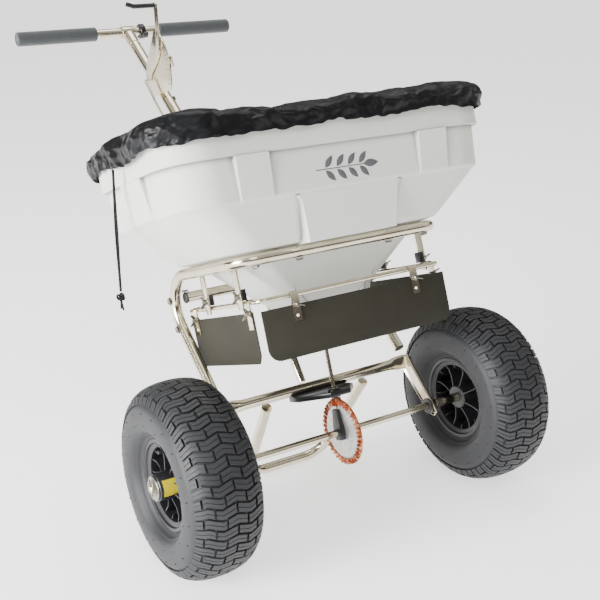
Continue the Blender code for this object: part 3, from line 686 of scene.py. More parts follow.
# Lynch pin: a round peg through the axle's end with a spring ring snapped back over it. There is
# one outside each hub washer.
for side, side_name in ((-1, "left"), (1, "right")):
    pin = swept("pin", [(side * 0.3728, 0, z / 1000) for z in (-12, -4, 4, 14)], 0.0016, 4)
    ring_turns = [2 * math.pi * k / 36 for k in range(33)]
    ring = swept("ring", [
        (side * (0.3728 - 0.0008 * math.cos(t)), 0.0105 * math.sin(t), 0.003 + 0.0115 * math.cos(t))
        for t in ring_turns], 0.0009, 3)
    park(joined(f"{side_name}_lynch_pin", [pin, ring]), "drive_axle", "stainless", ZINC)


# Frame tube: one 20 mm stainless tube is bent to make both legs, both rails and the front hoop
# that the hopper stands on. The hopper, the rear tube and the axle hangers are bolted to it.
frame_route = bent([
    (-0.200, 0.0645, 0.1105), (-0.200, 0.198, 0.329), (-0.200, -0.125, 0.329),
    (0.200, -0.125, 0.329), (0.200, 0.198, 0.329), (0.200, 0.0645, 0.1105)],
    [0.060, 0.040, 0.040, 0.060], 12)
park(swept("bent_frame_tube", frame_route, 0.010, 8), "frame", "stainless", STAINLESS, "frame_tube")


def black_moulded_nylon():
    """Glossy black moulded nylon of plugs, bushes and bearing blocks, with soft flow marks."""
    made, tree, shader = new_material("black_moulded_nylon")
    where = add(tree, "ShaderNodeTexCoord").outputs["Object"]
    flow = add(tree, "ShaderNodeTexNoise", {"Scale": 35.0, "Detail": 3.0}, {"Vector": where})
    tone = add(tree, "ShaderNodeValToRGB", {}, {"Fac": flow.outputs["Fac"]})
    tone.color_ramp.elements[0].color = hexcolour("#0c0c0d")
    tone.color_ramp.elements[1].color = hexcolour("#1c1c1f")
    dull = add(tree, "ShaderNodeMapRange", {"To Min": 0.22, "To Max": 0.4},
               {"Value": flow.outputs["Fac"]})
    tree.links.new(tone.outputs["Color"], shader.inputs["Base Color"])
    tree.links.new(dull.outputs["Result"], shader.inputs["Roughness"])
    return made


BLACK_NYLON = black_moulded_nylon()

# Rear cross tube: it joins the two legs behind the hopper and carries the handle. Its ends are
# closed by black plugs.
rear_tube = swept("rear_tube", [(-0.1888, 0.125, 0.288), (0.1888, 0.125, 0.288)], 0.0095, 8)
park(rear_tube, "frame", "stainless", STAINLESS, "rear_cross_tube")
plug = turned("plug", [
    (0.0, 0.0), (0.0102, 0.0), (0.0102, 0.0022), (0.0092, 0.0034), (0.0, 0.0036)], 32, 0.0003)
for side, side_name in ((-1, "left"), (1, "right")):
    end_plug = facing_copy(plug, f"{side_name}_tube_plug", (side * 0.1885, 0.125, 0.288), (side, 0, 0))
    park(end_plug, "frame", "black_plastic", BLACK_NYLON)
bpy.data.objects.remove(plug, do_unlink=True)

# Cross member: the tube low between the legs that the bearing plate and the stand hang on. Its
# ends are squashed flat and bolted to the legs' feet with the axle hangers.
cross_member = swept("cross_tube", [(x / 1000, 0.050, 0.086) for x in (-195, -186, -178, -168, -158)]
                     + [(x / 1000, 0.050, 0.086) for x in (158, 168, 178, 186, 195)], 0.0095, 8)
for vertex in cross_member.data.vertices:
    squash = min(1.0, max(0.0, (abs(vertex.co.x) - 0.158) / 0.020))
    squash = squash * squash * (3 - 2 * squash)
    vertex.co.y = 0.050 + (vertex.co.y - 0.050) * (1 - 0.58 * squash)
    vertex.co.z = 0.086 + (vertex.co.z - 0.086) * (1 + 0.35 * squash)
park(cross_member, "frame", "stainless", STAINLESS, "cross_member")

# Axle hangers: bars folded to a channel and bolted to the legs' feet. Each carries the axle in
# a flanged black bush.
hanger_outline = [(-0.019, -0.012), (-0.010, -0.020), (0.008, -0.014), (0.066, 0.078), (0.062, 0.098),
                  (0.044, 0.098)]
for side, side_name in ((-1, "left"), (1, "right")):
    hanger = pressed("hanger", [(side * 0.200, y, z) for y, z in hanger_outline], 0.0078, 0.0014)
    open_mesh(hanger)
    bpy.ops.mesh.select_all(action="DESELECT")
    shape = bmesh.from_edit_mesh(hanger.data)
    for face in shape.faces:
        face.select = abs(face.normal.x) > 0.95 and face.calc_area() > 0.0005
    bmesh.update_edit_mesh(hanger.data)
    bpy.ops.mesh.inset(thickness=0.0030, depth=-0.0026, use_individual=True)
    bpy.ops.object.mode_set(mode="OBJECT")
    park(hanger, "frame", "stainless", STAINLESS, f"{side_name}_axle_hanger")
    bush = turned("bush", [
        (0.00665, -0.0080), (0.0104, -0.0080), (0.0104, 0.0046), (0.0145, 0.0046), (0.0145, 0.0086),
        (0.00665, 0.0086)], 36, 0.0005)
    flanged = facing_copy(bush, f"{side_name}_flanged_bush", (side * 0.200, 0, 0), (-side, 0, 0))
    park(flanged, "frame", "black_plastic", BLACK_NYLON, f"{side_name}_axle_bush")
    bpy.data.objects.remove(bush, do_unlink=True)

# Centre strut and stand: the strut ties the cross member to the rear tube. The stand is a U of
# tube, its ends bolted under the cross member.
strut_stops = (0.0, 0.06, 0.12, 0.88, 0.94, 1.0)
strut_route = [(-0.027, 0.060 + 0.0615 * t, 0.096 + 0.1805 * t) for t in strut_stops]
strut = swept("strut_tube", strut_route, 0.0075, 6)
park(strut, "frame", "stainless", STAINLESS, "centre_strut")
stand_route = bent([
    (-0.105, 0.066, 0.068), (-0.085, 0.242, -0.0724), (0.085, 0.242, -0.0724), (0.105, 0.066, 0.068)],
    [0.045, 0.045], 14)
park(swept("stand_tube", stand_route, 0.0095, 8), "frame", "stainless", STAINLESS, "stand")

# Frame bolts: zinc-plated hexagon bolts with washers and domed nuts, through the legs, the
# hangers and the stand's ends.
hex_head = chain("hex_head", [
    (0.0, 0.0058 * math.cos(math.pi * k / 3), 0.0058 * math.sin(math.pi * k / 3)) for k in range(6)])
bpy.ops.mesh.edge_face_add()
bpy.ops.mesh.extrude_region_move(TRANSFORM_OT_translate={"value": (0.0034, 0, 0)})
bpy.ops.mesh.inset(thickness=0.0008, depth=0.0005)
close_mesh()
bolt_washer = turned("bolt_washer", [(0.0, -0.0006), (0.0072, -0.0006), (0.0075, 0.0), (0.0072, 0.0006),
                                     (0.0, 0.0006)], 28)
bolt = joined("bolt", [hex_head, bolt_washer])
dome_nut = turned("dome_nut", [
    (0.0, -0.0006), (0.0072, -0.0006), (0.0072, 0.0006), (0.0056, 0.0008), (0.0056, 0.0040),
    (0.0046, 0.0058), (0.0028, 0.0080), (0.0, 0.0088)], 28)
fixings = []
for side in (-1, 1):
    for kind, place, facing in (
        (bolt, (side * 0.2102, 0.1500, 0.2870), (side, 0, 0)),
        (bolt, (side * 0.2102, 0.1400, 0.2350), (side, 0, 0)),
        (dome_nut, (side * 0.2045, 0.0520, 0.0880), (side, 0, 0)),
        (bolt, (side * 0.1890, 0.1250, 0.2990), (0, 0, 1)),
        (bolt, (side * 0.1030, 0.0640, 0.0800), (0, -0.6, 0.8)),
        (bolt, (side * 0.0900, -0.1250, 0.3172), (0, 0, -1)),
        (bolt, (side * 0.1700, -0.1200, 0.3182), (0, -0.2, -0.98)),
    ):
        fixings.append(facing_copy(kind, "fixing", place, facing))
for spare in (bolt, dome_nut):
    bpy.data.objects.remove(spare, do_unlink=True)
park(joined("frame_bolts", fixings), "frame", "stainless", ZINC)


# Spinner drive: a crown gear of pressed steel on the axle meshes with a small pinion on the
# spinner's upright shaft. The shaft stands in a moulded foot and a bearing plate of black nylon.
def rusted_gear_steel():
    """Bare steel teeth with a copper-coloured bloom of rust, bright where the pinion rubs."""
    made, tree, shader = new_material("rusted_gear_steel")
    where = add(tree, "ShaderNodeTexCoord").outputs["Object"]
    bloom = add(tree, "ShaderNodeTexNoise", {"Scale": 95.0, "Detail": 6.0}, {"Vector": where})
    tone = add(tree, "ShaderNodeValToRGB", {}, {"Fac": bloom.outputs["Fac"]})
    tone.color_ramp.elements[0].position = 0.32
    tone.color_ramp.elements[0].color = hexcolour("#5e2a14")
    tone.color_ramp.elements[1].position = 0.66
    tone.color_ramp.elements[1].color = hexcolour("#e6c8a8")
    orange = tone.color_ramp.elements.new(0.5)
    orange.color = hexcolour("#b8582c")
    metal = add(tree, "ShaderNodeMapRange",
                {"From Min": 0.35, "From Max": 0.6, "To Min": 0.35, "To Max": 1.0},
                {"Value": bloom.outputs["Fac"]})
    raised = add(tree, "ShaderNodeBump", {"Strength": 0.4, "Distance": 0.0003},
                 {"Height": bloom.outputs["Fac"]})
    tree.links.new(tone.outputs["Color"], shader.inputs["Base Color"])
    tree.links.new(metal.outputs["Result"], shader.inputs["Metallic"])
    tree.links.new(raised.outputs["Normal"], shader.inputs["Normal"])
    shader.inputs["Roughness"].default_value = 0.38
    return made


def galvanised_pressing():
    """The gear's plain middle: pale plated sheet with soft cloudy spangle."""
    made, tree, shader = new_material("galvanised_pressing")
    where = add(tree, "ShaderNodeTexCoord").outputs["Object"]
    spangle = add(tree, "ShaderNodeTexVoronoi", {"Scale": 130.0}, {"Vector": where})
    tone = add(tree, "ShaderNodeValToRGB", {}, {"Fac": spangle.outputs["Distance"]})
    tone.color_ramp.elements[0].color = hexcolour("#c4c5c3")
    tone.color_ramp.elements[1].color = hexcolour("#e9e9e6")
    tree.links.new(tone.outputs["Color"], shader.inputs["Base Color"])
    shader.inputs["Metallic"].default_value = 0.75
    shader.inputs["Roughness"].default_value = 0.5
    return made


RUSTED_STEEL = rusted_gear_steel()
GALVANISED = galvanised_pressing()
GEAR_TEETH = 40
GEAR_PLACE = 0.0135
gear_disc = turned("gear_disc", [
    (0.00665, -0.0020), (0.0470, -0.0020), (0.0488, -0.0008), (0.0488, 0.0018), (0.0140, 0.0018),
    (0.0132, 0.0140), (0.00665, 0.0140)], 72, 0.0005)
gear_disc.location.x = GEAR_PLACE
park(gear_disc, "drive_axle", "gear_steel", GALVANISED)
tooth = chain("tooth", [
    (-0.0034, -0.0012, 0.0485), (-0.0034, 0.0012, 0.0485), (-0.0034, 0.0016, 0.0597),
    (-0.0034, -0.0016, 0.0597)])
bpy.ops.mesh.edge_face_add()
bpy.ops.mesh.extrude_region_move(TRANSFORM_OT_translate={"value": (0.0030, 0, 0)})
bpy.ops.transform.resize(value=(1.0, 1.9, 1.0), center_override=(0, 0, 0.054))
bpy.ops.mesh.select_all(action="SELECT")
bpy.ops.mesh.normals_make_consistent(inside=False)
bpy.ops.mesh.bevel(offset=0.0004, segments=1)
bpy.ops.mesh.select_all(action="SELECT")
bpy.ops.mesh.spin(dupli=True, steps=GEAR_TEETH - 1, angle=2 * math.pi * (GEAR_TEETH - 1) / GEAR_TEETH,
                  center=(0, 0, 0), axis=(1, 0, 0))
bpy.ops.object.mode_set(mode="OBJECT")
toothed_ring = turned("toothed_ring", [
    (0.0480, -0.0006), (0.0594, -0.0006), (0.0600, 0.0002), (0.0598, 0.0022), (0.0480, 0.0022)], 80)
toothed_ring = joined("toothed_ring", [toothed_ring, tooth])
toothed_ring.location.x = GEAR_PLACE
park(toothed_ring, "drive_axle", "gear_steel", RUSTED_STEEL, "drive_gear")

pinion = chain("pinion_gear", [
    ((0.0062 if k % 4 in (0, 3) else 0.0093) * math.cos(2 * math.pi * (k - 1.5) / 28),
     (0.0062 if k % 4 in (0, 3) else 0.0093) * math.sin(2 * math.pi * (k - 1.5) / 28), 0.0478)
    for k in range(28)])
bpy.ops.mesh.edge_face_add()
bpy.ops.mesh.extrude_region_move(TRANSFORM_OT_translate={"value": (0, 0, 0.0134)})
close_mesh()
park(pinion, "spinner", "gear_steel", RUSTED_STEEL, "pinion")

shaft_foot = chain("foot_block", [
    (-0.0108, -0.0090, -0.0138), (0.0108, -0.0090, -0.0138), (0.0108, 0.0090, -0.0138),
    (-0.0108, 0.0090, -0.0138)])
bpy.ops.mesh.edge_face_add()
bpy.ops.mesh.extrude_region_move(TRANSFORM_OT_translate={"value": (0, 0, 0.0090)})
bpy.ops.transform.resize(value=(1.0, 1.4, 1.0), center_override=(0, 0, 0))
bpy.ops.mesh.extrude_region_move(TRANSFORM_OT_translate={"value": (0, 0, 0.0130)})
bpy.ops.mesh.extrude_region_move(TRANSFORM_OT_translate={"value": (0, 0, 0.0340)})
bpy.ops.transform.resize(value=(0.80, 0.66, 1.0), center_override=(0, 0, 0))
bpy.ops.mesh.select_all(action="SELECT")
bpy.ops.mesh.normals_make_consistent(inside=False)
bpy.ops.mesh.bevel(offset=0.0016, segments=3)
bpy.ops.object.mode_set(mode="OBJECT")
collar = turned("collar", [
    (0.00665, -0.0118), (0.0092, -0.0118), (0.0098, -0.0100), (0.0098, 0.0100), (0.0092, 0.0118),
    (0.00665, 0.0118)], 32)
shaft_foot = joined("shaft_foot_block", [shaft_foot, collar])
park(shaft_foot, "frame", "black_plastic", BLACK_NYLON, "shaft_foot")

bearing_plate = pressed("bearing_plate", [
    (-0.060, 0.062, 0.0712), (-0.060, 0.030, 0.0712), (-0.020, -0.022, 0.0712), (0.020, -0.022, 0.0712),
    (0.060, 0.030, 0.0712), (0.060, 0.062, 0.0712)], 0.0098, 0.0020)
open_mesh(bearing_plate)
bpy.ops.mesh.select_all(action="DESELECT")
shape = bmesh.from_edit_mesh(bearing_plate.data)
for face in shape.faces:
    face.select = abs(face.normal.z) > 0.95 and face.calc_area() > 0.001
bmesh.update_edit_mesh(bearing_plate.data)
bpy.ops.mesh.inset(thickness=0.0040, depth=-0.0028, use_individual=True)
bpy.ops.object.mode_set(mode="OBJECT")
boss = turned("boss", [
    (0.0043, -0.0080), (0.0100, -0.0080), (0.0115, -0.0040), (0.0115, 0.0050), (0.0095, 0.0078),
    (0.0043, 0.0078)], 32, 0.0006)
boss = facing_copy(boss, "bearing_boss", (0, 0, 0.0712), (0, 0, 1))
bpy.data.objects.remove(bpy.data.objects["boss"], do_unlink=True)
bearing_plate = joined("shaft_bearing_plate", [bearing_plate, boss])
park(bearing_plate, "frame", "black_plastic", BLACK_NYLON, "shaft_bearing")

shaft = swept("upright_shaft", [(0, 0, z / 1000) for z in (26, 60, 120, 180, 240, 260)], 0.004, 5)
park(shaft, "spinner", "stainless", STAINLESS, "spinner_shaft")

# Spinner: a black moulded disc with four curved fins that throws the granules out. The agitator
# above it is a stainless finger in the hopper's mouth.
spinner_disc = turned("spinner_plate", [
    (0.0043, -0.0060), (0.0120, -0.0060), (0.0140, -0.0015), (0.0790, -0.0015), (0.0800, -0.0008),
    (0.0800, 0.0010), (0.0785, 0.0016), (0.0150, 0.0016), (0.0130, 0.0120), (0.0043, 0.0120)], 72, 0.0004)
spinner_disc = facing_copy(spinner_disc, "thrower", (0, 0, 0.170), (0, 0, 1))
bpy.data.objects.remove(bpy.data.objects["spinner_plate"], do_unlink=True)
fins = []
for k in range(4):
    fin = chain("fin", [
        (0.011 + 0.0165 * j, 0.0022 * j * j / 4, 0.1710) for j in range(5)])
    bpy.ops.mesh.extrude_region_move(TRANSFORM_OT_translate={"value": (0, 0, 0.0125)})
    bpy.ops.object.mode_set(mode="OBJECT")
    wall = fin.modifiers.new("thickness", "SOLIDIFY")
    wall.thickness = 0.0024
    wall.offset = 0.0
    bpy.ops.object.modifier_apply(modifier="thickness")
    fin.rotation_euler.z = math.pi / 2 * k + 0.3
    fins.append(fin)
spinner_disc = joined("spinner_plate", [spinner_disc, *fins])
park(spinner_disc, "spinner", "black_plastic", BLACK_NYLON, "spinner_disc")

finger = swept("finger", bent([
    (-0.030, 0, 0.2440), (-0.010, 0, 0.2490), (0.010, 0, 0.2490), (0.030, 0, 0.2540)],
    [0.01, 0.01], 5), 0.0025, 4)
finger_boss = turned("finger_boss", [
    (0.0043, -0.0078), (0.0080, -0.0078), (0.0085, -0.0070), (0.0085, 0.0070), (0.0080, 0.0078),
    (0.0043, 0.0078)], 28)
finger_boss = facing_copy(finger_boss, "finger_hub", (0, 0, 0.2490), (0, 0, 1))
bpy.data.objects.remove(bpy.data.objects["finger_boss"], do_unlink=True)
park(joined("agitator_finger", [finger_boss, finger]), "spinner", "stainless", STAINLESS, "agitator")

# Outlet: the slotted floor, the shutter under it and the shutter's two runners keep their plain
# pressed shapes and take the bright finish.
for node_name in ("outlet_floor", "shutter_gate", "left_gate_runner", "right_gate_runner"):
    pressing = frame["nodes"][node_name]
    pressing.data.materials.clear()
    pressing.data.materials.append(ZINC)


# Deflector: a bent 8 mm rod under the rails on four flat straps, with three plates of dark
# painted sheet hung on folded clips. A wing screw in each clip locks its plate's slope, and a
# black block behind each strap guides the rod.
def dark_painted_sheet():
    """Powder-painted steel sheet: dark olive grey, satin, with fine orange peel and faint scuffs."""
    made, tree, shader = new_material("dark_painted_sheet")
    where = add(tree, "ShaderNodeTexCoord").outputs["Object"]
    scuffs = add(tree, "ShaderNodeTexNoise", {"Scale": 17.0, "Detail": 5.0}, {"Vector": where})
    tone = add(tree, "ShaderNodeValToRGB", {}, {"Fac": scuffs.outputs["Fac"]})
    tone.color_ramp.elements[0].color = hexcolour("#25241e")
    tone.color_ramp.elements[1].color = hexcolour("#34332b")
    peel = add(tree, "ShaderNodeTexNoise", {"Scale": 520.0, "Detail": 1.0}, {"Vector": where})
    raised = add(tree, "ShaderNodeBump", {"Strength": 0.12, "Distance": 0.0003},
                 {"Height": peel.outputs["Fac"]})
    dull = add(tree, "ShaderNodeMapRange", {"To Min": 0.6, "To Max": 0.76},
               {"Value": scuffs.outputs["Fac"]})
    tree.links.new(tone.outputs["Color"], shader.inputs["Base Color"])
    tree.links.new(raised.outputs["Normal"], shader.inputs["Normal"])
    tree.links.new(dull.outputs["Result"], shader.inputs["Roughness"])
    shader.inputs["Specular IOR Level"].default_value = 0.12
    return made


def white_rivet_paint():
    """White-lacquered rivet heads, a little yellowed."""
    made, tree, shader = new_material("white_rivet_paint")
    where = add(tree, "ShaderNodeTexCoord").outputs["Object"]
    age = add(tree, "ShaderNodeTexNoise", {"Scale": 300.0}, {"Vector": where})
    tone = add(tree, "ShaderNodeValToRGB", {}, {"Fac": age.outputs["Fac"]})
    tone.color_ramp.elements[0].color = hexcolour("#d9d8d2")
    tone.color_ramp.elements[1].color = hexcolour("#f6f6f2")
    tree.links.new(tone.outputs["Color"], shader.inputs["Base Color"])
    shader.inputs["Roughness"].default_value = 0.35
    return made


PAINTED_SHEET = dark_painted_sheet()
RIVET_WHITE = white_rivet_paint()
ROD_HALF = 0.182
ROD_FRONT = -0.130
ROD_Z = 0.262
WING_SPIN = 1.1
rod_route = bent([
    (-ROD_HALF, 0.128, ROD_Z), (-ROD_HALF, ROD_FRONT, ROD_Z), (ROD_HALF, ROD_FRONT, ROD_Z),
    (ROD_HALF, 0.128, ROD_Z)], [0.015, 0.015], 8)
park(swept("hinge_rod", rod_route, 0.004, 6), "frame", "stainless", STAINLESS, "deflector_rod")

wing_boss = turned("wing_boss", [
    (0.0, 0.0), (0.0042, 0.0), (0.0046, 0.0008), (0.0038, 0.0058), (0.0026, 0.0074), (0.0, 0.0078)], 20)
wings = []
for side in (-1, 1):
    wings.append(pressed("wing", [
        (0.0015, 0, side * 0.0024), (0.0022, 0, side * 0.0060), (0.0066, 0, side * 0.0108),
        (0.0102, 0, side * 0.0118), (0.0116, 0, side * 0.0096), (0.0094, 0, side * 0.0060),
        (0.0060, 0, side * 0.0022)], 0.0017, 0.0005))
wing_shank = swept("wing_shank", [(-0.0065, 0, 0), (0.002, 0, 0)], 0.0024, 4)
wing_screw = joined("wing_screw", [wing_boss, wing_shank, *wings])
rivet = turned("rivet", [
    (0.0, -0.0006), (0.0026, -0.0006), (0.0026, 0.0), (0.0021, 0.0009), (0.0010, 0.0014),
    (0.0, 0.0015)], 20)

strap_screws = []
guides = []
for side, side_name in ((-1, "left"), (1, "right")):
    for strap_name, along in (("rear", 0.045), ("front", -0.078)):
        strap_line = [
            (-0.0080, 0.2545), (-0.0055, 0.2520), (0.0055, 0.2520), (0.0080, 0.2545), (0.0080, 0.3285),
            (-0.0080, 0.3285)]
        strap = pressed(f"{side_name}_{strap_name}_flat_strap", [
            (side * 0.1882, along + y, z) for y, z in strap_line], 0.0028, 0.0004)
        park(strap, "frame", "stainless", STAINLESS, f"{side_name}_{strap_name}_strap")
        screw_place = (side * 0.1898, along, 0.2745)
        strap_screws.append(facing_copy(wing_screw, "strap_screw", screw_place, (side, 0, 0), WING_SPIN))
        block_line = [(0.0075, 0.2672), (0.0075, 0.2860), (-0.0075, 0.2860), (-0.0075, 0.2672)]
        guides.append(pressed("guide", [
            (side * 0.1822, along + y, z) for y, z in block_line], 0.0085, 0.0006))
park(joined("strap_wing_screws", strap_screws), "frame", "stainless", ZINC)
park(joined("rod_guide_blocks", guides), "frame", "black_plastic", BLACK_NYLON)


def clip_profile(out_x, out_y):
    """A clip's folded line, seen from its end: up the plate's face and over the rod."""
    hook = [math.radians(a) for a in (180, 150, 120, 90, 60, 30, 0, -25)]
    hook_radius = 0.0052
    out = Vector((out_x, out_y, 0))
    low = [out * hook_radius + Vector((0, 0, ROD_Z - drop)) for drop in (0.0430, 0.0300, 0.0150, 0.0)]
    over = [
        out * (-hook_radius * math.cos(a)) + Vector((0, 0, ROD_Z + hook_radius * math.sin(a)))
        for a in hook[1:]]
    return low + over


def folded_clip(name, centre, out_x, out_y):
    """A 15 mm wide strip of sheet bent round the rod."""
    along = Vector((abs(out_y), abs(out_x), 0)) * 0.015
    base = Vector((*centre, 0)) - along / 2
    obj = chain(name, [point + base for point in clip_profile(out_x, out_y)])
    bpy.ops.mesh.extrude_region_move(TRANSFORM_OT_translate={"value": along})
    bpy.ops.object.mode_set(mode="OBJECT")
    wall = obj.modifiers.new("thickness", "SOLIDIFY")
    wall.thickness = 0.0016
    wall.offset = 0.0
    wall.use_even_offset = True
    bpy.ops.object.modifier_apply(modifier="thickness")
    open_mesh(obj)
    close_mesh()
    return obj


CLIPS = (
    ("front_clip_left", "front_flap", (-0.120, ROD_FRONT), (0, -1)),
    ("front_clip_right", "front_flap", (0.120, ROD_FRONT), (0, -1)),
    ("left_clip_front", "left_flap", (-ROD_HALF, -0.099), (-1, 0)),
    ("left_clip_rear", "left_flap", (-ROD_HALF, 0.104), (-1, 0)),
    ("right_clip_front", "right_flap", (ROD_HALF, -0.099), (1, 0)),
    ("right_clip_rear", "right_flap", (ROD_HALF, 0.104), (1, 0)),
)
for node_name, body, centre, out in CLIPS:
    park(folded_clip("folded_" + node_name, centre, *out), body, "stainless", STAINLESS, node_name)
    face = Vector((*centre, 0)) + Vector((*out, 0)) * 0.0062
    screw_place = face + Vector((0, 0, ROD_Z - 0.0160))
    screw = facing_copy(wing_screw, "wing_screw_" + node_name, screw_place, (*out, 0), WING_SPIN)
    park(screw, body, "stainless", ZINC)
    head = facing_copy(rivet, "rivet_" + node_name, face + Vector((0, 0, ROD_Z - 0.0340)), (*out, 0))
    park(head, body, "stainless", RIVET_WHITE)
# The two patterns are hidden from here on. Copies of the wing screw that are made later, which are
# the wing nuts of the rate stop and the handle's stem, are hidden with it and don't show.
for spare in (wing_screw, rivet):
    spare.hide_render = True

PLATE_TOP = 0.246
PLATE_BOTTOM = 0.162
PLATE_CORNER = 0.022
corner_turns = [math.radians(a) for a in range(180, 271, 10)]
front_outline = [(-0.184, PLATE_TOP)]
front_outline += [
    (-0.162 + PLATE_CORNER * math.cos(a), PLATE_BOTTOM + PLATE_CORNER * (1 + math.sin(a)))
    for a in corner_turns]
front_outline += [(-x, z) for x, z in reversed(front_outline)]
front_plate = pressed("front_plate", [
    (x, ROD_FRONT - 0.0030, z) for x, z in front_outline], 0.0020, 0.0003)
park(front_plate, "front_flap", "dark_sheet", PAINTED_SHEET, "front_deflector")
side_outline = [
    (-0.108, PLATE_TOP), (-0.108, PLATE_BOTTOM + 0.014), (-0.104, PLATE_BOTTOM + 0.006),
    (-0.098, PLATE_BOTTOM), (0.122, PLATE_BOTTOM), (0.126, PLATE_TOP)]
for side, side_name in ((-1, "left"), (1, "right")):
    side_plate = pressed(f"{side_name}_plate", [
        (side * (ROD_HALF + 0.0030), y, z) for y, z in side_outline], 0.0020, 0.0003)
    park(side_plate, f"{side_name}_flap", "dark_sheet", PAINTED_SHEET, f"{side_name}_deflector")


# Hopper: one tub moulded in pale polyethylene, 3.5 mm thick. Its upper band has sunk panels
# between flush ribs, and a raised panel runs down the front from the band to the hoop.
def moulded_polyethylene():
    """Natural grey-white polyethylene: waxy satin, finely grained, with painted shade darkening its
    inside corners.
    """
    made, tree, shader = new_material("moulded_polyethylene")
    where = add(tree, "ShaderNodeTexCoord").outputs["Object"]
    cloud = add(tree, "ShaderNodeTexNoise", {"Scale": 6.0, "Detail": 4.0}, {"Vector": where})
    tone = add(tree, "ShaderNodeValToRGB", {}, {"Fac": cloud.outputs["Fac"]})
    tone.color_ramp.elements[0].color = hexcolour("#c9cac4")
    tone.color_ramp.elements[1].color = hexcolour("#d3d4ce")
    grain = add(tree, "ShaderNodeTexNoise", {"Scale": 650.0, "Detail": 3.0}, {"Vector": where})
    raised = add(tree, "ShaderNodeBump", {"Strength": 0.10, "Distance": 0.0003},
                 {"Height": grain.outputs["Fac"]})
    dull = add(tree, "ShaderNodeMapRange", {"To Min": 0.46, "To Max": 0.60},
               {"Value": cloud.outputs["Fac"]})
    # Painted shade: ambient occlusion darkens the colour towards a mid grey in the tub's inside corners
    # and under its steps.
    nook = add(tree, "ShaderNodeAmbientOcclusion",
               {"samples": 8, "only_local": True, "Distance": 0.012})
    deep = add(tree, "ShaderNodeMapRange",
               {"From Min": 0.55, "From Max": 0.97, "To Min": 1.0, "To Max": 0.0},
               {"Value": nook.outputs["AO"]})
    painted_shade_mix = add(tree, "ShaderNodeMix", {"data_type": "RGBA", 7: hexcolour("#6a6b66")},
                {0: deep.outputs["Result"], 6: tone.outputs["Color"]})
    tree.links.new(painted_shade_mix.outputs[2], shader.inputs["Base Color"])
    tree.links.new(raised.outputs["Normal"], shader.inputs["Normal"])
    tree.links.new(dull.outputs["Result"], shader.inputs["Roughness"])
    shader.inputs["Specular IOR Level"].default_value = 0.35
    return made


POLYETHYLENE = moulded_polyethylene()
WALL_LEVELS = [  # height, half width, front, rear, corner radius: the tub without ribs and panels
    (0.222, 0.050, -0.048, 0.048, 0.012), (0.338, 0.184, -0.111, 0.100, 0.040),
    (0.344, 0.212, -0.138, 0.120, 0.050), (0.352, 0.222, -0.146, 0.124, 0.055),
    (0.414, 0.298, -0.174, 0.134, 0.072), (0.420, 0.305, -0.180, 0.139, 0.075),
    (0.4875, 0.309, -0.184, 0.149, 0.075), (0.4890, 0.316, -0.190, 0.156, 0.075),
    (0.540, 0.316, -0.190, 0.156, 0.075), (0.545, 0.3145, -0.1885, 0.1545, 0.074),
]
BAND_BOTTOM, BAND_TOP = 0.420, 0.4875
PANEL_FLOOR = 0.339
PANEL_TOP = 0.414
PANEL_HALF_LOW, PANEL_HALF = 0.087, 0.0965
RIB_INNER, RIB_OUTER = 0.143, 0.2035
FRONT_FLAT = 0.230
SIDE_FLAT = (-0.109, 0.074)
SIDE_RIB = (-0.073, 0.010)


def wall_at(height):
    """The tub's plain outline at a height: half width, front, rear and corner radius."""
    for lower, upper in zip(WALL_LEVELS, WALL_LEVELS[1:]):
        if height <= upper[0]:
            part = (height - lower[0]) / (upper[0] - lower[0])
            return [a + (b - a) * part for a, b in zip(lower[1:], upper[1:])]
    return list(WALL_LEVELS[-1][1:])


def eased(value):
    """0 below 0, 1 above 1, and a smooth step between."""
    value = min(1.0, max(0.0, value))
    return value * value * (3 - 2 * value)


def raised_panel_edge(height):
    """Half the width of the front's raised panel; it flares into the band with a fillet."""
    edge = (PANEL_HALF_LOW
            + (PANEL_HALF - PANEL_HALF_LOW) * (height - PANEL_FLOOR) / (PANEL_TOP - PANEL_FLOOR))
    fillet = 0.013
    sunk = min(fillet, max(0.0, height - (0.4155 - fillet)))
    return edge + fillet - math.sqrt(max(0.0, fillet ** 2 - sunk ** 2))


def spread(anchors, near, gap):
    """Stations along a run of anchors: close together beside each anchor, wider between."""
    stops = []
    for first, last in zip(anchors, anchors[1:]):
        inner = [first + d for d in near] + [last - d for d in reversed(near)]
        free = (last - near[-1]) - (first + near[-1])
        count = max(1, round(free / gap))
        middle = [first + near[-1] + free * k / count for k in range(1, count)]
        stops += [first] + inner[:len(near)] + middle + inner[len(near):]
    return stops + [anchors[-1]]


NEAR = (0.0007, 0.0014, 0.0022, 0.0032)
half_front = spread([0.0, PANEL_HALF, RIB_INNER, RIB_OUTER, FRONT_FLAT], NEAR, 0.008)
front_stops = [-x for x in reversed(half_front[1:])] + half_front
side_stops = spread([SIDE_FLAT[0], *SIDE_RIB, SIDE_FLAT[1]], NEAR, 0.008)
CORNER_STEPS = 12
heights = spread([0.222, 0.338], (0.001,), 0.02)
heights += spread([0.3390, 0.3440, 0.3520], (0.0007, 0.0014), 0.002)
heights += spread([0.3535, 0.4000], (0.001,), 0.006) + [0.4015 + 0.0010 * k for k in range(19)]
heights += spread([0.4210, 0.4865], (0.001,), 0.006) + [0.4872, 0.4875, 0.4879, 0.4884, 0.4890, 0.4896]
heights += [0.492, 0.505, 0.520, 0.535, 0.5385, 0.5405, 0.5425, 0.5440, 0.5448, 0.5450]
heights = sorted({round(h, 5) for h in heights})


def past_edge(offset, edge):
    """0 short of a rib's edge and 1 past it, with a narrow smooth step between."""
    return eased((offset - edge) / 0.0028 + 0.5)


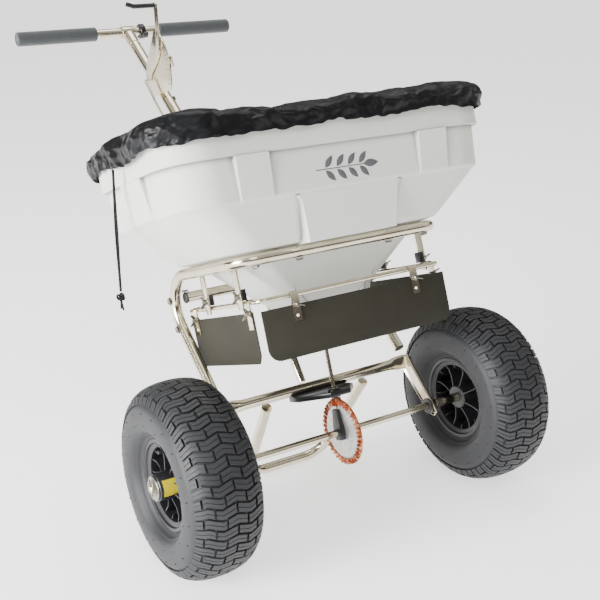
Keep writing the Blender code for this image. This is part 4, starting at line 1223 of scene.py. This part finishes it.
def hopper_ring(height):
    """One ring of the tub's outside with its ribs, panels and raised front, in order round it."""
    half, front, rear, radius = wall_at(height)
    rise = (height - BAND_BOTTOM) / (BAND_TOP - BAND_BOTTOM)
    proud = 0.0 if height < 0.4145 or height > 0.4889 else 0.0016 + 0.0062 * min(1.0, max(0.0, rise))
    if 0.4145 <= height < BAND_BOTTOM:
        proud *= (height - 0.4145) / (BAND_BOTTOM - 0.4145)
    if height > BAND_TOP:
        proud *= max(0.0, 1 - (height - BAND_TOP) / (0.4889 - BAND_TOP))
    straight = half - radius
    edge = raised_panel_edge(height) if height < 0.4155 else PANEL_HALF
    scale = (straight - edge) / (FRONT_FLAT - PANEL_HALF)
    panel_y = -0.162 - 0.0165 * (height - PANEL_FLOOR) / (BAND_BOTTOM - PANEL_FLOOR)
    on_panel = PANEL_FLOOR <= height < 0.4195
    ring = []
    for x in front_stops:
        reach = abs(x)
        place = reach * edge / PANEL_HALF if reach <= PANEL_HALF else edge + (reach - PANEL_HALF) * scale
        flush = past_edge(reach, RIB_INNER) * (1 - past_edge(reach, RIB_OUTER))
        y = front - proud * flush
        if on_panel:
            stand = 1 - eased((reach - PANEL_HALF) / 0.0026 + 0.5)
            y = min(y, y + (panel_y - y) * stand)
        ring.append((math.copysign(place, x), y, height))
    for k in range(1, CORNER_STEPS):
        a = math.pi / 2 * k / CORNER_STEPS
        ring.append((straight + radius * math.sin(a), front + radius - radius * math.cos(a), height))
    low_y, high_y = front + radius, rear - radius
    for y in side_stops:
        flush = past_edge(y, SIDE_RIB[0]) * (1 - past_edge(y, SIDE_RIB[1]))
        place = low_y + (y - SIDE_FLAT[0]) / (SIDE_FLAT[1] - SIDE_FLAT[0]) * (high_y - low_y)
        ring.append((half + proud * flush, place, height))
    for k in range(1, CORNER_STEPS):
        a = math.pi / 2 * k / CORNER_STEPS
        ring.append((straight + radius * math.cos(a), rear - radius + radius * math.sin(a), height))
    for x in reversed(front_stops):
        reach = abs(x)
        flush = past_edge(reach, RIB_INNER) * (1 - past_edge(reach, RIB_OUTER))
        ring.append((x / FRONT_FLAT * straight, rear + proud * flush, height))
    for k in range(1, CORNER_STEPS):
        a = math.pi / 2 * k / CORNER_STEPS
        ring.append((-straight - radius * math.sin(a), rear - radius + radius * math.cos(a), height))
    for y in reversed(side_stops):
        flush = past_edge(y, SIDE_RIB[0]) * (1 - past_edge(y, SIDE_RIB[1]))
        place = low_y + (y - SIDE_FLAT[0]) / (SIDE_FLAT[1] - SIDE_FLAT[0]) * (high_y - low_y)
        ring.append((-half - proud * flush, place, height))
    for k in range(1, CORNER_STEPS):
        a = math.pi / 2 * k / CORNER_STEPS
        ring.append((-straight - radius * math.cos(a), front + radius - radius * math.sin(a), height))
    return ring


def wrapped_grid(name, rings):
    """A flat grid, one row for each ring, wrapped round onto the rings and closed at its seam."""
    around = len(rings[0]) + 1
    bpy.ops.object.select_all(action="DESELECT")
    bpy.ops.mesh.primitive_grid_add(x_subdivisions=around - 1, y_subdivisions=len(rings) - 1, size=1.0)
    obj = bpy.context.object
    obj.name = name
    for vertex in obj.data.vertices:
        row, column = divmod(vertex.index, around)
        vertex.co = rings[row][column % (around - 1)]
    open_mesh(obj)
    bpy.ops.mesh.select_all(action="SELECT")
    bpy.ops.mesh.remove_doubles(threshold=0.00001)
    bpy.ops.mesh.normals_make_consistent(inside=False)
    bpy.ops.object.mode_set(mode="OBJECT")
    return obj


hopper = wrapped_grid("moulded_hopper", [hopper_ring(h) for h in heights])
wall = hopper.modifiers.new("wall", "SOLIDIFY")
wall.thickness = 0.0035
wall.offset = -1.0
bpy.ops.object.modifier_apply(modifier="wall")
park(hopper, "frame", "polyethylene", POLYETHYLENE, "hopper", sharp_deg=50)


# Mark: a plain sprig of leaves printed in grey on the hopper's front. It is a generic ornament with
# no lettering.
def printed_grey_ink():
    """Matt dark grey pad-printing ink, slightly uneven over the moulded grain."""
    made, tree, shader = new_material("printed_grey_ink")
    where = add(tree, "ShaderNodeTexCoord").outputs["Object"]
    uneven = add(tree, "ShaderNodeTexNoise", {"Scale": 240.0, "Detail": 3.0}, {"Vector": where})
    tone = add(tree, "ShaderNodeValToRGB", {}, {"Fac": uneven.outputs["Fac"]})
    tone.color_ramp.elements[0].color = hexcolour("#454649")
    tone.color_ramp.elements[1].color = hexcolour("#56575a")
    tree.links.new(tone.outputs["Color"], shader.inputs["Base Color"])
    shader.inputs["Roughness"].default_value = 0.6
    return made


PRINT_INK = printed_grey_ink()


def leaf(name, at, length, turn):
    """A pointed leaf, drawn flat and turned about its stalk end."""
    half = [(0.0, 0.0), (0.12, 0.10), (0.32, 0.20), (0.55, 0.21), (0.78, 0.13), (1.0, 0.0)]
    shape_line = half + [(x, -z) for x, z in reversed(half[1:-1])]
    spun = [(x * math.cos(turn) - z * math.sin(turn), x * math.sin(turn) + z * math.cos(turn))
            for x, z in shape_line]
    return pressed(name, [
        (at[0] + x * length, 0.0, at[1] + z * length) for x, z in spun], 0.0004, 0.00005)


sprig = [leaf("leaf", (0.030, 0.000), 0.030, 0.0)]
for k, along in enumerate((-0.044, -0.022, 0.000, 0.022)):
    for side in (-1, 1):
        sprig.append(leaf("leaf", (along, side * 0.0022), 0.0245, side * math.radians(48)))
sprig.append(pressed("stalk", [
    (-0.062, 0, -0.0009), (0.034, 0, -0.0007), (0.034, 0, 0.0007), (-0.062, 0, 0.0009)], 0.0004, 0.00005))
mark = joined("printed_sprig", sprig)
face_slope = math.atan2(0.004, BAND_TOP - BAND_BOTTOM)
mark.matrix_world = Matrix.Translation((0, -0.1819, 0.4480)) @ Matrix.Rotation(face_slope, 4, "X")
park(mark, "frame", "black_plastic", PRINT_INK)


# Cover: one sheet of black coated nylon laid over the rim. A drawcord in its hem gathers it under
# the lip, most tightly at the left side where the cord is tied.
def coated_nylon():
    """Thin coated nylon: charcoal, crinkled all over, with a soft gloss on every crease."""
    made, tree, shader = new_material("coated_nylon")
    where = add(tree, "ShaderNodeTexCoord").outputs["Object"]
    crinkle = add(tree, "ShaderNodeTexNoise",
                  {"Scale": 42.0, "Detail": 5.0, "Roughness": 0.55, "Distortion": 0.9},
                  {"Vector": where})
    weave = add(tree, "ShaderNodeTexWave", {"Scale": 420.0, "bands_direction": "DIAGONAL"},
                {"Vector": where})
    tone = add(tree, "ShaderNodeValToRGB", {}, {"Fac": crinkle.outputs["Fac"]})
    tone.color_ramp.elements[0].color = hexcolour("#070708")
    tone.color_ramp.elements[1].color = hexcolour("#151618")
    creased = add(tree, "ShaderNodeBump", {"Strength": 0.5, "Distance": 0.0026},
                  {"Height": crinkle.outputs["Fac"]})
    woven = add(tree, "ShaderNodeBump", {"Strength": 0.12, "Distance": 0.0002},
                {"Height": weave.outputs["Fac"], "Normal": creased.outputs["Normal"]})
    dull = add(tree, "ShaderNodeMapRange", {"To Min": 0.26, "To Max": 0.42},
               {"Value": crinkle.outputs["Fac"]})
    tree.links.new(tone.outputs["Color"], shader.inputs["Base Color"])
    tree.links.new(woven.outputs["Normal"], shader.inputs["Normal"])
    tree.links.new(dull.outputs["Result"], shader.inputs["Roughness"])
    shader.inputs["Specular IOR Level"].default_value = 0.15
    return made


COATED_NYLON = coated_nylon()
COVER_STATIONS = [  # part of the way to the hem, half width, front, rear, corner radius, height
    (0.00, 0.001, -0.0175, -0.0165, 0.0005, 0.567), (0.42, 0.160, -0.082, 0.060, 0.045, 0.5665),
    (0.74, 0.284, -0.165, 0.130, 0.070, 0.5640), (0.83, 0.317, -0.192, 0.158, 0.080, 0.5580),
    (0.88, 0.3275, -0.2015, 0.1675, 0.083, 0.5480), (0.93, 0.3300, -0.2040, 0.1700, 0.085, 0.5360),
    (1.00, 0.3270, -0.2010, 0.1670, 0.084, 0.5160),
]
CLOTH_HALF = 66
CLOTH_FRAMES = 24
CREEP_LIMIT = 0.0075


def cover_station(part):
    """The cover's smooth outline a part of the way from its middle to its hem."""
    for first, last in zip(COVER_STATIONS, COVER_STATIONS[1:]):
        if part <= last[0]:
            along = (part - first[0]) / (last[0] - first[0])
            return [a + (b - a) * along for a, b in zip(first[1:], last[1:])]
    return list(COVER_STATIONS[-1][1:])


def round_outline(half, front, rear, radius, part):
    """A point a part of the way round a rectangle with round corners, and its outward way."""
    straight_x = half - radius
    straight_y = (rear - front) / 2 - radius
    bend = radius * math.pi / 2
    quarter = straight_x + bend + straight_y
    quadrant = int(part * 4) % 4
    left = (part * 4 - int(part * 4)) * quarter
    first = straight_y if quadrant % 2 == 1 else straight_x
    if left <= first:
        point, way = (left, 0.0), (0.0, 1.0)
    elif left <= first + bend:
        a = (left - first) / radius
        point = (first + radius * math.sin(a), -radius * (1 - math.cos(a)))
        way = (math.sin(a), math.cos(a))
    else:
        point, way = (first + radius, -radius - (left - first - bend)), (1.0, 0.0)
    middle = (front + rear) / 2
    reach_x, reach_y = half, (rear - front) / 2
    # Quadrants run from the front's middle to the right, the rear, the left and back to the front.
    if quadrant == 0:
        return (point[0], middle - reach_y - point[1]), (way[0], -way[1])
    if quadrant == 1:
        return (reach_x + point[1], middle + point[0]), (way[1], way[0])
    if quadrant == 2:
        return (-point[0], middle + reach_y + point[1]), (-way[0], way[1])
    return (-reach_x - point[1], middle - point[0]), (-way[1], -way[0])


def ridged(point, size, seed):
    """Sharp-crested folds about a size apart, from -1 to 1."""
    sample = noise.noise(Vector(point) / size + Vector((seed, seed * 0.7, -seed)))
    return 1 - 2.6 * abs(sample)


def gather_strength(x, y):
    """How tightly the cord bunches the hem: most at the left side and its front corner."""
    near_left = eased((-x - 0.10) / 0.20)
    return 0.35 + 0.65 * near_left


def cover_point(column, row):
    """Where a corner of the sheet's square weave lies once it is drawn over the rim."""
    reach = max(abs(column), abs(row))
    part = reach / CLOTH_HALF
    half, front, rear, radius, height = cover_station(part)
    if reach == 0:
        return Vector((0, (front + rear) / 2, height))
    if row == -reach and column < reach:
        along = column / reach
        round_part = 0.125 * along if along >= 0 else 1 + 0.125 * along
    elif column == reach and row < reach:
        round_part = 0.25 + 0.125 * row / reach
    elif row == reach and column > -reach:
        round_part = 0.5 - 0.125 * column / reach
    else:
        round_part = 0.75 - 0.125 * row / reach
    # A square's eighth reaches a corner's middle: shared out so that the weave keeps its spacing.
    (x, y), way = round_outline(half, front, rear, radius, round_part % 1.0)
    point = Vector((x, y, height))
    over_rim = eased((part - 0.70) / 0.18)
    skirt = eased((part - 0.86) / 0.14)
    outward = Vector((way[0] * over_rim, way[1] * over_rim, 1.0 - 0.8 * skirt)).normalized()
    girth = round_part * 1.95
    tight = gather_strength(x, y)
    lean = girth + 0.35 * (1 - part) * math.sin(girth * 9.0)
    pleat = ridged((lean, 0.0, part * 0.10), 0.017, 3.1) * 0.0032 * skirt * tight
    drift = Vector((x, y, height)) / 0.13
    bend_x, bend_y = noise.noise(drift) * 0.06, noise.noise(drift + Vector((9, 4, 2))) * 0.06
    crease = ridged((x + bend_x, y + bend_y, height * 2), 0.085, 1.7) * 0.0050
    crease += ridged((x - bend_y, y + bend_x, height * 2), 0.034, 5.3) * 0.0028
    crease *= 0.55 + 0.45 * over_rim
    point += outward * (crease - 0.0030 + pleat)
    hem_wave = noise.noise(Vector((girth * 9.0, 2.0, 0.0))) * 0.010
    hem_wave += ridged((girth, 0, 0), 0.02, 8.0) * 0.002
    point.z += skirt * (hem_wave + 0.004 * (1 - tight))
    return point


bpy.ops.object.select_all(action="DESELECT")
bpy.ops.mesh.primitive_grid_add(x_subdivisions=2 * CLOTH_HALF, y_subdivisions=2 * CLOTH_HALF, size=1.0)
cover = bpy.context.object
cover.name = "nylon_hopper_cover"
for vertex in cover.data.vertices:
    row, column = divmod(vertex.index, 2 * CLOTH_HALF + 1)
    vertex.co = cover_point(column - CLOTH_HALF, row - CLOTH_HALF)
# The sheet is a little larger than the rim needs: held at its hem, it buckles into creases.
laid = [vertex.co.copy() for vertex in cover.data.vertices]
hem_line = cover.vertex_groups.new(name="hem")
for vertex in cover.data.vertices:
    row, column = divmod(vertex.index, 2 * CLOTH_HALF + 1)
    reach = max(abs(column - CLOTH_HALF), abs(row - CLOTH_HALF)) / CLOTH_HALF
    hem_line.add([vertex.index], eased((reach - 0.90) / 0.08), "REPLACE")
cloth = cover.modifiers.new("slack", "CLOTH")
cloth.settings.quality = 6
cloth.settings.mass = 0.12
cloth.settings.tension_stiffness = 20.0
cloth.settings.compression_stiffness = 20.0
cloth.settings.bending_stiffness = 0.15
cloth.settings.shrink_min = -0.05
cloth.settings.vertex_group_mass = "hem"
cloth.settings.effector_weights.gravity = 0.0
cloth.settings.use_pressure = True
cloth.settings.uniform_pressure_force = 0.4
cloth.collision_settings.use_collision = False
cloth.point_cache.frame_start = 1
cloth.point_cache.frame_end = CLOTH_FRAMES
for step in range(1, CLOTH_FRAMES + 1):
    bpy.context.scene.frame_set(step)
bpy.ops.object.modifier_apply(modifier="slack")
bpy.context.scene.frame_set(1)
for vertex, start in zip(cover.data.vertices, laid):
    move = vertex.co - start
    if move.length > CREEP_LIMIT:
        vertex.co = start + move.normalized() * CREEP_LIMIT
soften = cover.modifiers.new("finer", "SUBSURF")
soften.levels = 1
soften.render_levels = 1
bpy.ops.object.modifier_apply(modifier="finer")
cover_wall = cover.modifiers.new("thickness", "SOLIDIFY")
cover_wall.thickness = 0.0006
cover_wall.offset = -1.0
bpy.ops.object.modifier_apply(modifier="thickness")
open_mesh(cover)
close_mesh()
park(cover, "frame", "coated_nylon", COATED_NYLON, "hopper_cover", sharp_deg=80)


# Handle: a two-part stem of stainless tube, held to the rear tube by a folded bracket. A bar with
# grey foam grips is clamped across its top, and wing nuts hold the joint.
def closed_cell_foam():
    """Closed-cell foam tube: slate grey, softly dull, with a fine open skin of pores."""
    made, tree, shader = new_material("closed_cell_foam")
    where = add(tree, "ShaderNodeTexCoord").outputs["Object"]
    pores = add(tree, "ShaderNodeTexVoronoi", {"Scale": 620.0}, {"Vector": where})
    blotch = add(tree, "ShaderNodeTexNoise", {"Scale": 40.0, "Detail": 3.0}, {"Vector": where})
    tone = add(tree, "ShaderNodeValToRGB", {}, {"Fac": blotch.outputs["Fac"]})
    tone.color_ramp.elements[0].color = hexcolour("#202426")
    tone.color_ramp.elements[1].color = hexcolour("#2e3235")
    raised = add(tree, "ShaderNodeBump", {"Strength": 0.35, "Distance": 0.0005},
                 {"Height": pores.outputs["Distance"]})
    tree.links.new(tone.outputs["Color"], shader.inputs["Base Color"])
    tree.links.new(raised.outputs["Normal"], shader.inputs["Normal"])
    shader.inputs["Roughness"].default_value = 0.8
    shader.inputs["Sheen Weight"].default_value = 0.3
    return made


FOAM = closed_cell_foam()
BAR_Y, BAR_Z = 0.571, 0.883
STEM_SLOPE = 0.741
STEM_LEAN = math.atan(STEM_SLOPE)


def on_stem(height, across=0.0, ahead=0.0):
    """A point of the stem's centre line at a height, moved sideways and square to the stem."""
    return (across, BAR_Y - STEM_SLOPE * (BAR_Z - height) - ahead * math.cos(STEM_LEAN),
            height + ahead * math.sin(STEM_LEAN))


def hollow_tube(name, start, end, radius, wall):
    """A straight open-ended tube: drawn as a bar, then its ends sunk to show the bore."""
    obj = swept(name, [Vector(start), Vector(start).lerp(Vector(end), 0.5), Vector(end)], radius, 8)
    axis = (Vector(end) - Vector(start)).normalized()
    open_mesh(obj)
    bpy.ops.mesh.select_all(action="DESELECT")
    shape = bmesh.from_edit_mesh(obj.data)
    for face in shape.faces:
        face.select = abs(face.normal.dot(axis)) > 0.99
    bmesh.update_edit_mesh(obj.data)
    bpy.ops.mesh.inset(thickness=wall, depth=0.0, use_individual=True)
    bpy.ops.mesh.inset(thickness=0.0002, depth=-0.030, use_individual=True)
    bpy.ops.object.mode_set(mode="OBJECT")
    return obj


lower_stem = hollow_tube("lower_stem", on_stem(0.298), on_stem(0.699), 0.0125, 0.0015)
park(lower_stem, "frame", "stainless", STAINLESS, "handle_lower_tube")
upper_stem = hollow_tube("upper_stem", on_stem(0.701), on_stem(0.8605), 0.0115, 0.0015)
park(upper_stem, "frame", "stainless", STAINLESS, "handle_upper_tube")
crossbar = hollow_tube("crossbar", (-0.245, BAR_Y, BAR_Z), (0.245, BAR_Y, BAR_Z), 0.0095, 0.0015)
park(crossbar, "frame", "stainless", STAINLESS, "handle_bar")

grip = turned("grip", [
    (0.0098, -0.0880), (0.0136, -0.0880), (0.0150, -0.0862), (0.0150, 0.0838), (0.0144, 0.0866),
    (0.0126, 0.0880), (0.0098, 0.0866)], 64, 0.0007)
end_skin = turned("end_skin", [
    (0.0, 0.0836), (0.0128, 0.0836), (0.0128, 0.0858), (0.0104, 0.0868), (0.0, 0.0866)], 48, 0.0004)
grip = joined("grip", [grip, end_skin])
for side, side_name in ((-1, "left"), (1, "right")):
    tube_grip = facing_copy(grip, f"{side_name}_foam_grip", (side * 0.1625, BAR_Y, BAR_Z), (side, 0, 0))
    park(tube_grip, "frame", "foam", FOAM, f"{side_name}_grip")
bpy.data.objects.remove(grip, do_unlink=True)

# The clamp: a saddle folded over the bar and bolted through the stem's top, with a black clamp
# beside it that steadies the lever.
saddle = turned("saddle", [
    (0.0098, -0.0150), (0.0122, -0.0150), (0.0128, -0.0140), (0.0128, 0.0140), (0.0122, 0.0150),
    (0.0098, 0.0150)], 40, 0.0003)
saddle.location = (0.0, BAR_Y, BAR_Z)
socket = hollow_tube("socket", on_stem(0.8480), on_stem(0.8740), 0.0126, 0.0010)
park(joined("bar_saddle", [saddle, socket]), "frame", "stainless", STAINLESS)
black_clamp = turned("black_clamp", [
    (0.0098, -0.0060), (0.0146, -0.0060), (0.0160, -0.0045), (0.0160, 0.0045), (0.0146, 0.0060),
    (0.0098, 0.0060)], 36, 0.0006)
black_clamp.location = (0.0330, BAR_Y, BAR_Z)
clamp_ear = pressed("clamp_ear", [
    (0.0330, BAR_Y - 0.0120, BAR_Z - 0.0060), (0.0330, BAR_Y - 0.0250, BAR_Z - 0.0080),
    (0.0330, BAR_Y - 0.0280, BAR_Z - 0.0150), (0.0330, BAR_Y - 0.0200, BAR_Z - 0.0200),
    (0.0330, BAR_Y - 0.0080, BAR_Z - 0.0130)], 0.0090, 0.0012)
park(joined("bar_clamp", [black_clamp, clamp_ear]), "frame", "black_plastic", BLACK_NYLON)

bracket_line = [
    (-0.0145, -0.0160), (-0.0145, 0.0120), (-0.0115, 0.0145), (0.0115, 0.0145), (0.0145, 0.0120),
    (0.0145, -0.0160)]
bracket_reach = 0.035 * math.cos(STEM_LEAN)
low_end = Vector(on_stem(0.3000 - bracket_reach))
high_end = Vector(on_stem(0.3000 + bracket_reach))
bracket = chain("stem_saddle", [
    (low_end.x + x, low_end.y + out * math.cos(STEM_LEAN), low_end.z - out * math.sin(STEM_LEAN))
    for x, out in bracket_line])
bpy.ops.mesh.extrude_region_move(TRANSFORM_OT_translate={"value": high_end - low_end})
bpy.ops.object.mode_set(mode="OBJECT")
fold = bracket.modifiers.new("thickness", "SOLIDIFY")
fold.thickness = 0.0026
fold.offset = 0.0
fold.use_even_offset = True
bpy.ops.object.modifier_apply(modifier="thickness")
open_mesh(bracket)
close_mesh()
park(bracket, "frame", "stainless", STAINLESS, "stem_bracket")

# Gate lever: a flat cranked bar on a pivot bolt, with a black grip. It swings beside a dial plate
# that is bolted to the stem, and a rate stop clamped on the dial limits its travel.
PIVOT = (0.462, 0.765)
PLATE_X, LEVER_X = -0.0140, -0.0180


def beside_stem(name, outline, across, thickness, edge=0.0004):
    """A flat piece standing along the machine, its outline given about the lever's pivot."""
    return pressed(name, [(across, PIVOT[0] + y, PIVOT[1] + z) for y, z in outline], thickness, edge)


dial_turns = [math.radians(128 + 86 * k / 30) for k in range(31)]
dial_outline = [(0.100 * math.cos(a), 0.100 * math.sin(a)) for a in dial_turns]
dial_outline += [(0.000, -0.050), (0.020, -0.046), (0.030, -0.014), (0.012, 0.020)]
dial = beside_stem("dial_sheet", dial_outline, PLATE_X, 0.0024)
marks = []
for k in range(13):
    a = math.radians(134 + 74 * k / 12)
    low, high = (0.084, 0.097) if k % 3 == 0 else (0.089, 0.097)
    side_way = Vector((-math.sin(a), math.cos(a))) * 0.0006
    out_way = Vector((math.cos(a), math.sin(a)))
    corners = [out_way * low - side_way, out_way * high - side_way, out_way * high + side_way,
               out_way * low + side_way]
    marks.append(beside_stem("mark", [tuple(c) for c in corners], PLATE_X - 0.0014, 0.0003, 0.00004))
park(dial, "frame", "stainless", STAINLESS, "dial_plate")
park(joined("dial_marks", marks), "frame", "black_plastic", PRINT_INK)

lever_outline = [
    (-0.004, 0.009), (-0.030, 0.0185), (-0.050, 0.028), (-0.060, 0.037), (-0.068, 0.050),
    (-0.089, 0.120), (-0.092, 0.123), (-0.098, 0.1215), (-0.101, 0.117), (-0.080, 0.042),
    (-0.070, 0.025), (-0.058, 0.014), (-0.034, 0.003), (-0.010, -0.006), (0.000, -0.014),
    (0.004, -0.016), (0.009, -0.0165), (0.012, -0.014), (0.011, -0.006), (0.008, 0.006), (0.002, 0.010)]
park(beside_stem("lever_bar", lever_outline, LEVER_X, 0.0040, 0.0006), "lever", "stainless", STAINLESS,
     "gate_lever")
grip_y, grip_z = PIVOT[0] - 0.095, PIVOT[1] + 0.116
lever_sleeve = swept("lever_sleeve", bent([
    (-0.0206, grip_y, grip_z), (-0.066, grip_y, grip_z), (-0.0812, grip_y - 0.003, grip_z + 0.004)],
    [0.008], 5), 0.0047, 5)
park(lever_sleeve, "lever", "black_plastic", BLACK_NYLON, "lever_grip")

stop_outline = [(-0.060, -0.010), (-0.060, 0.004), (-0.063, 0.006), (-0.105, 0.0085), (-0.108, 0.006),
                (-0.108, -0.012), (-0.105, -0.0145), (-0.063, -0.012)]
stop_tab = beside_stem("stop_tab", stop_outline, PLATE_X + 0.0032, 0.0028, 0.0005)
park(stop_tab, "rate_stop", "stainless", STAINLESS, "rate_stop")
stop_nut = facing_copy(
    wing_screw, "stop_wing_nut", (PLATE_X + 0.0048, PIVOT[0] - 0.090, PIVOT[1] - 0.003), (1, 0, 0))
park(stop_nut, "rate_stop", "stainless", ZINC)

pivot_bolt = turned("pivot_bolt", [
    (0.0, -0.0345), (0.0050, -0.0345), (0.0068, -0.0330), (0.0068, -0.0300), (0.0060, -0.0290),
    (0.0060, -0.0206), (0.0040, -0.0206), (0.0040, 0.0000), (0.0058, 0.0000), (0.0058, 0.0050),
    (0.0, 0.0060)], 28)
pivot_bolt.location = (0.0, *PIVOT)
park(pivot_bolt, "frame", "stainless", ZINC, "lever_pivot_bolt")

wing_nuts = []
for place, facing in (
    ((-0.0128, *on_stem(0.700)[1:]), (-1, 0, 0)),
    ((-0.0160, *on_stem(0.310)[1:]), (-1, 0, 0)),
    ((-0.0154, PIVOT[0] - 0.074, PIVOT[1] - 0.040), (-1, 0, 0)),
    ((-0.0154, PIVOT[0] - 0.006, PIVOT[1] - 0.034), (-1, 0, 0)),
    ((0.0000, BAR_Y - 0.0128, BAR_Z), (0, -1, 0)),
):
    wing_nuts.append(facing_copy(wing_screw, "wing_nut", place, facing))
park(joined("stem_wing_nuts", wing_nuts), "frame", "stainless", ZINC)
bolt_heads = turned("bolt_heads", [
    (0.0, 0.0), (0.0064, 0.0), (0.0064, 0.0022), (0.0052, 0.0040), (0.0, 0.0050)], 24)
heads = []
for height in (0.700, 0.310):
    heads.append(facing_copy(bolt_heads, "head", (0.0124, *on_stem(height)[1:]), (1, 0, 0)))
bpy.data.objects.remove(bolt_heads, do_unlink=True)
park(joined("stem_bolt_heads", heads), "frame", "stainless", ZINC)

# Control rod: a 5 mm wire hooked into the lever's short arm, bent to run down behind the hopper
# to the shutter's tongue.
HOOK, FOOT = (0.4706, 0.7515), (0.170, 0.2140)
rod_line = bent([
    (-0.0212, *HOOK), (-0.0260, *HOOK), (-0.0260, HOOK[0] - 0.030, HOOK[1] - 0.0537),
    (0.0, FOOT[0] + 0.060, FOOT[1] + 0.108), (0.0, FOOT[0] + 0.0022, FOOT[1] + 0.0070)],
    [0.002, 0.020, 0.050], 6)
park(swept("control_wire", rod_line, 0.0025, 5), "gate_rod", "stainless", STAINLESS, "control_rod")
for spare in (wing_screw, rivet):
    bpy.data.objects.remove(spare, do_unlink=True)


# Hub label: a plain yellow vinyl label, 33 mm wide, stuck part of the way round the left hub
# between the hub washer and the rim's web.
def yellow_label_film():
    """Glossy yellow vinyl film, rubbed dull at its corners."""
    made, tree, shader = new_material("yellow_label_film")
    where = add(tree, "ShaderNodeTexCoord").outputs["Object"]
    rub = add(tree, "ShaderNodeTexNoise", {"Scale": 160.0, "Detail": 3.0}, {"Vector": where})
    tone = add(tree, "ShaderNodeValToRGB", {}, {"Fac": rub.outputs["Fac"]})
    tone.color_ramp.elements[0].color = hexcolour("#c2ae0c")
    tone.color_ramp.elements[1].color = hexcolour("#e3cf1c")
    tree.links.new(tone.outputs["Color"], shader.inputs["Base Color"])
    shader.inputs["Roughness"].default_value = 0.42
    return made


label_arc = [math.radians(-38 + 68 * k / 14) for k in range(15)]
label = chain("hub_label", [(-0.3600, -0.0240 * math.cos(a), 0.0240 * math.sin(a)) for a in label_arc])
bpy.ops.mesh.extrude_region_move(TRANSFORM_OT_translate={"value": (0.0330, 0, 0)})
bpy.ops.object.mode_set(mode="OBJECT")
film = label.modifiers.new("thickness", "SOLIDIFY")
film.thickness = 0.0003
film.offset = 1.0
bpy.ops.object.modifier_apply(modifier="thickness")
open_mesh(label)
close_mesh()
park(label, "drive_axle", "black_plastic", yellow_label_film())
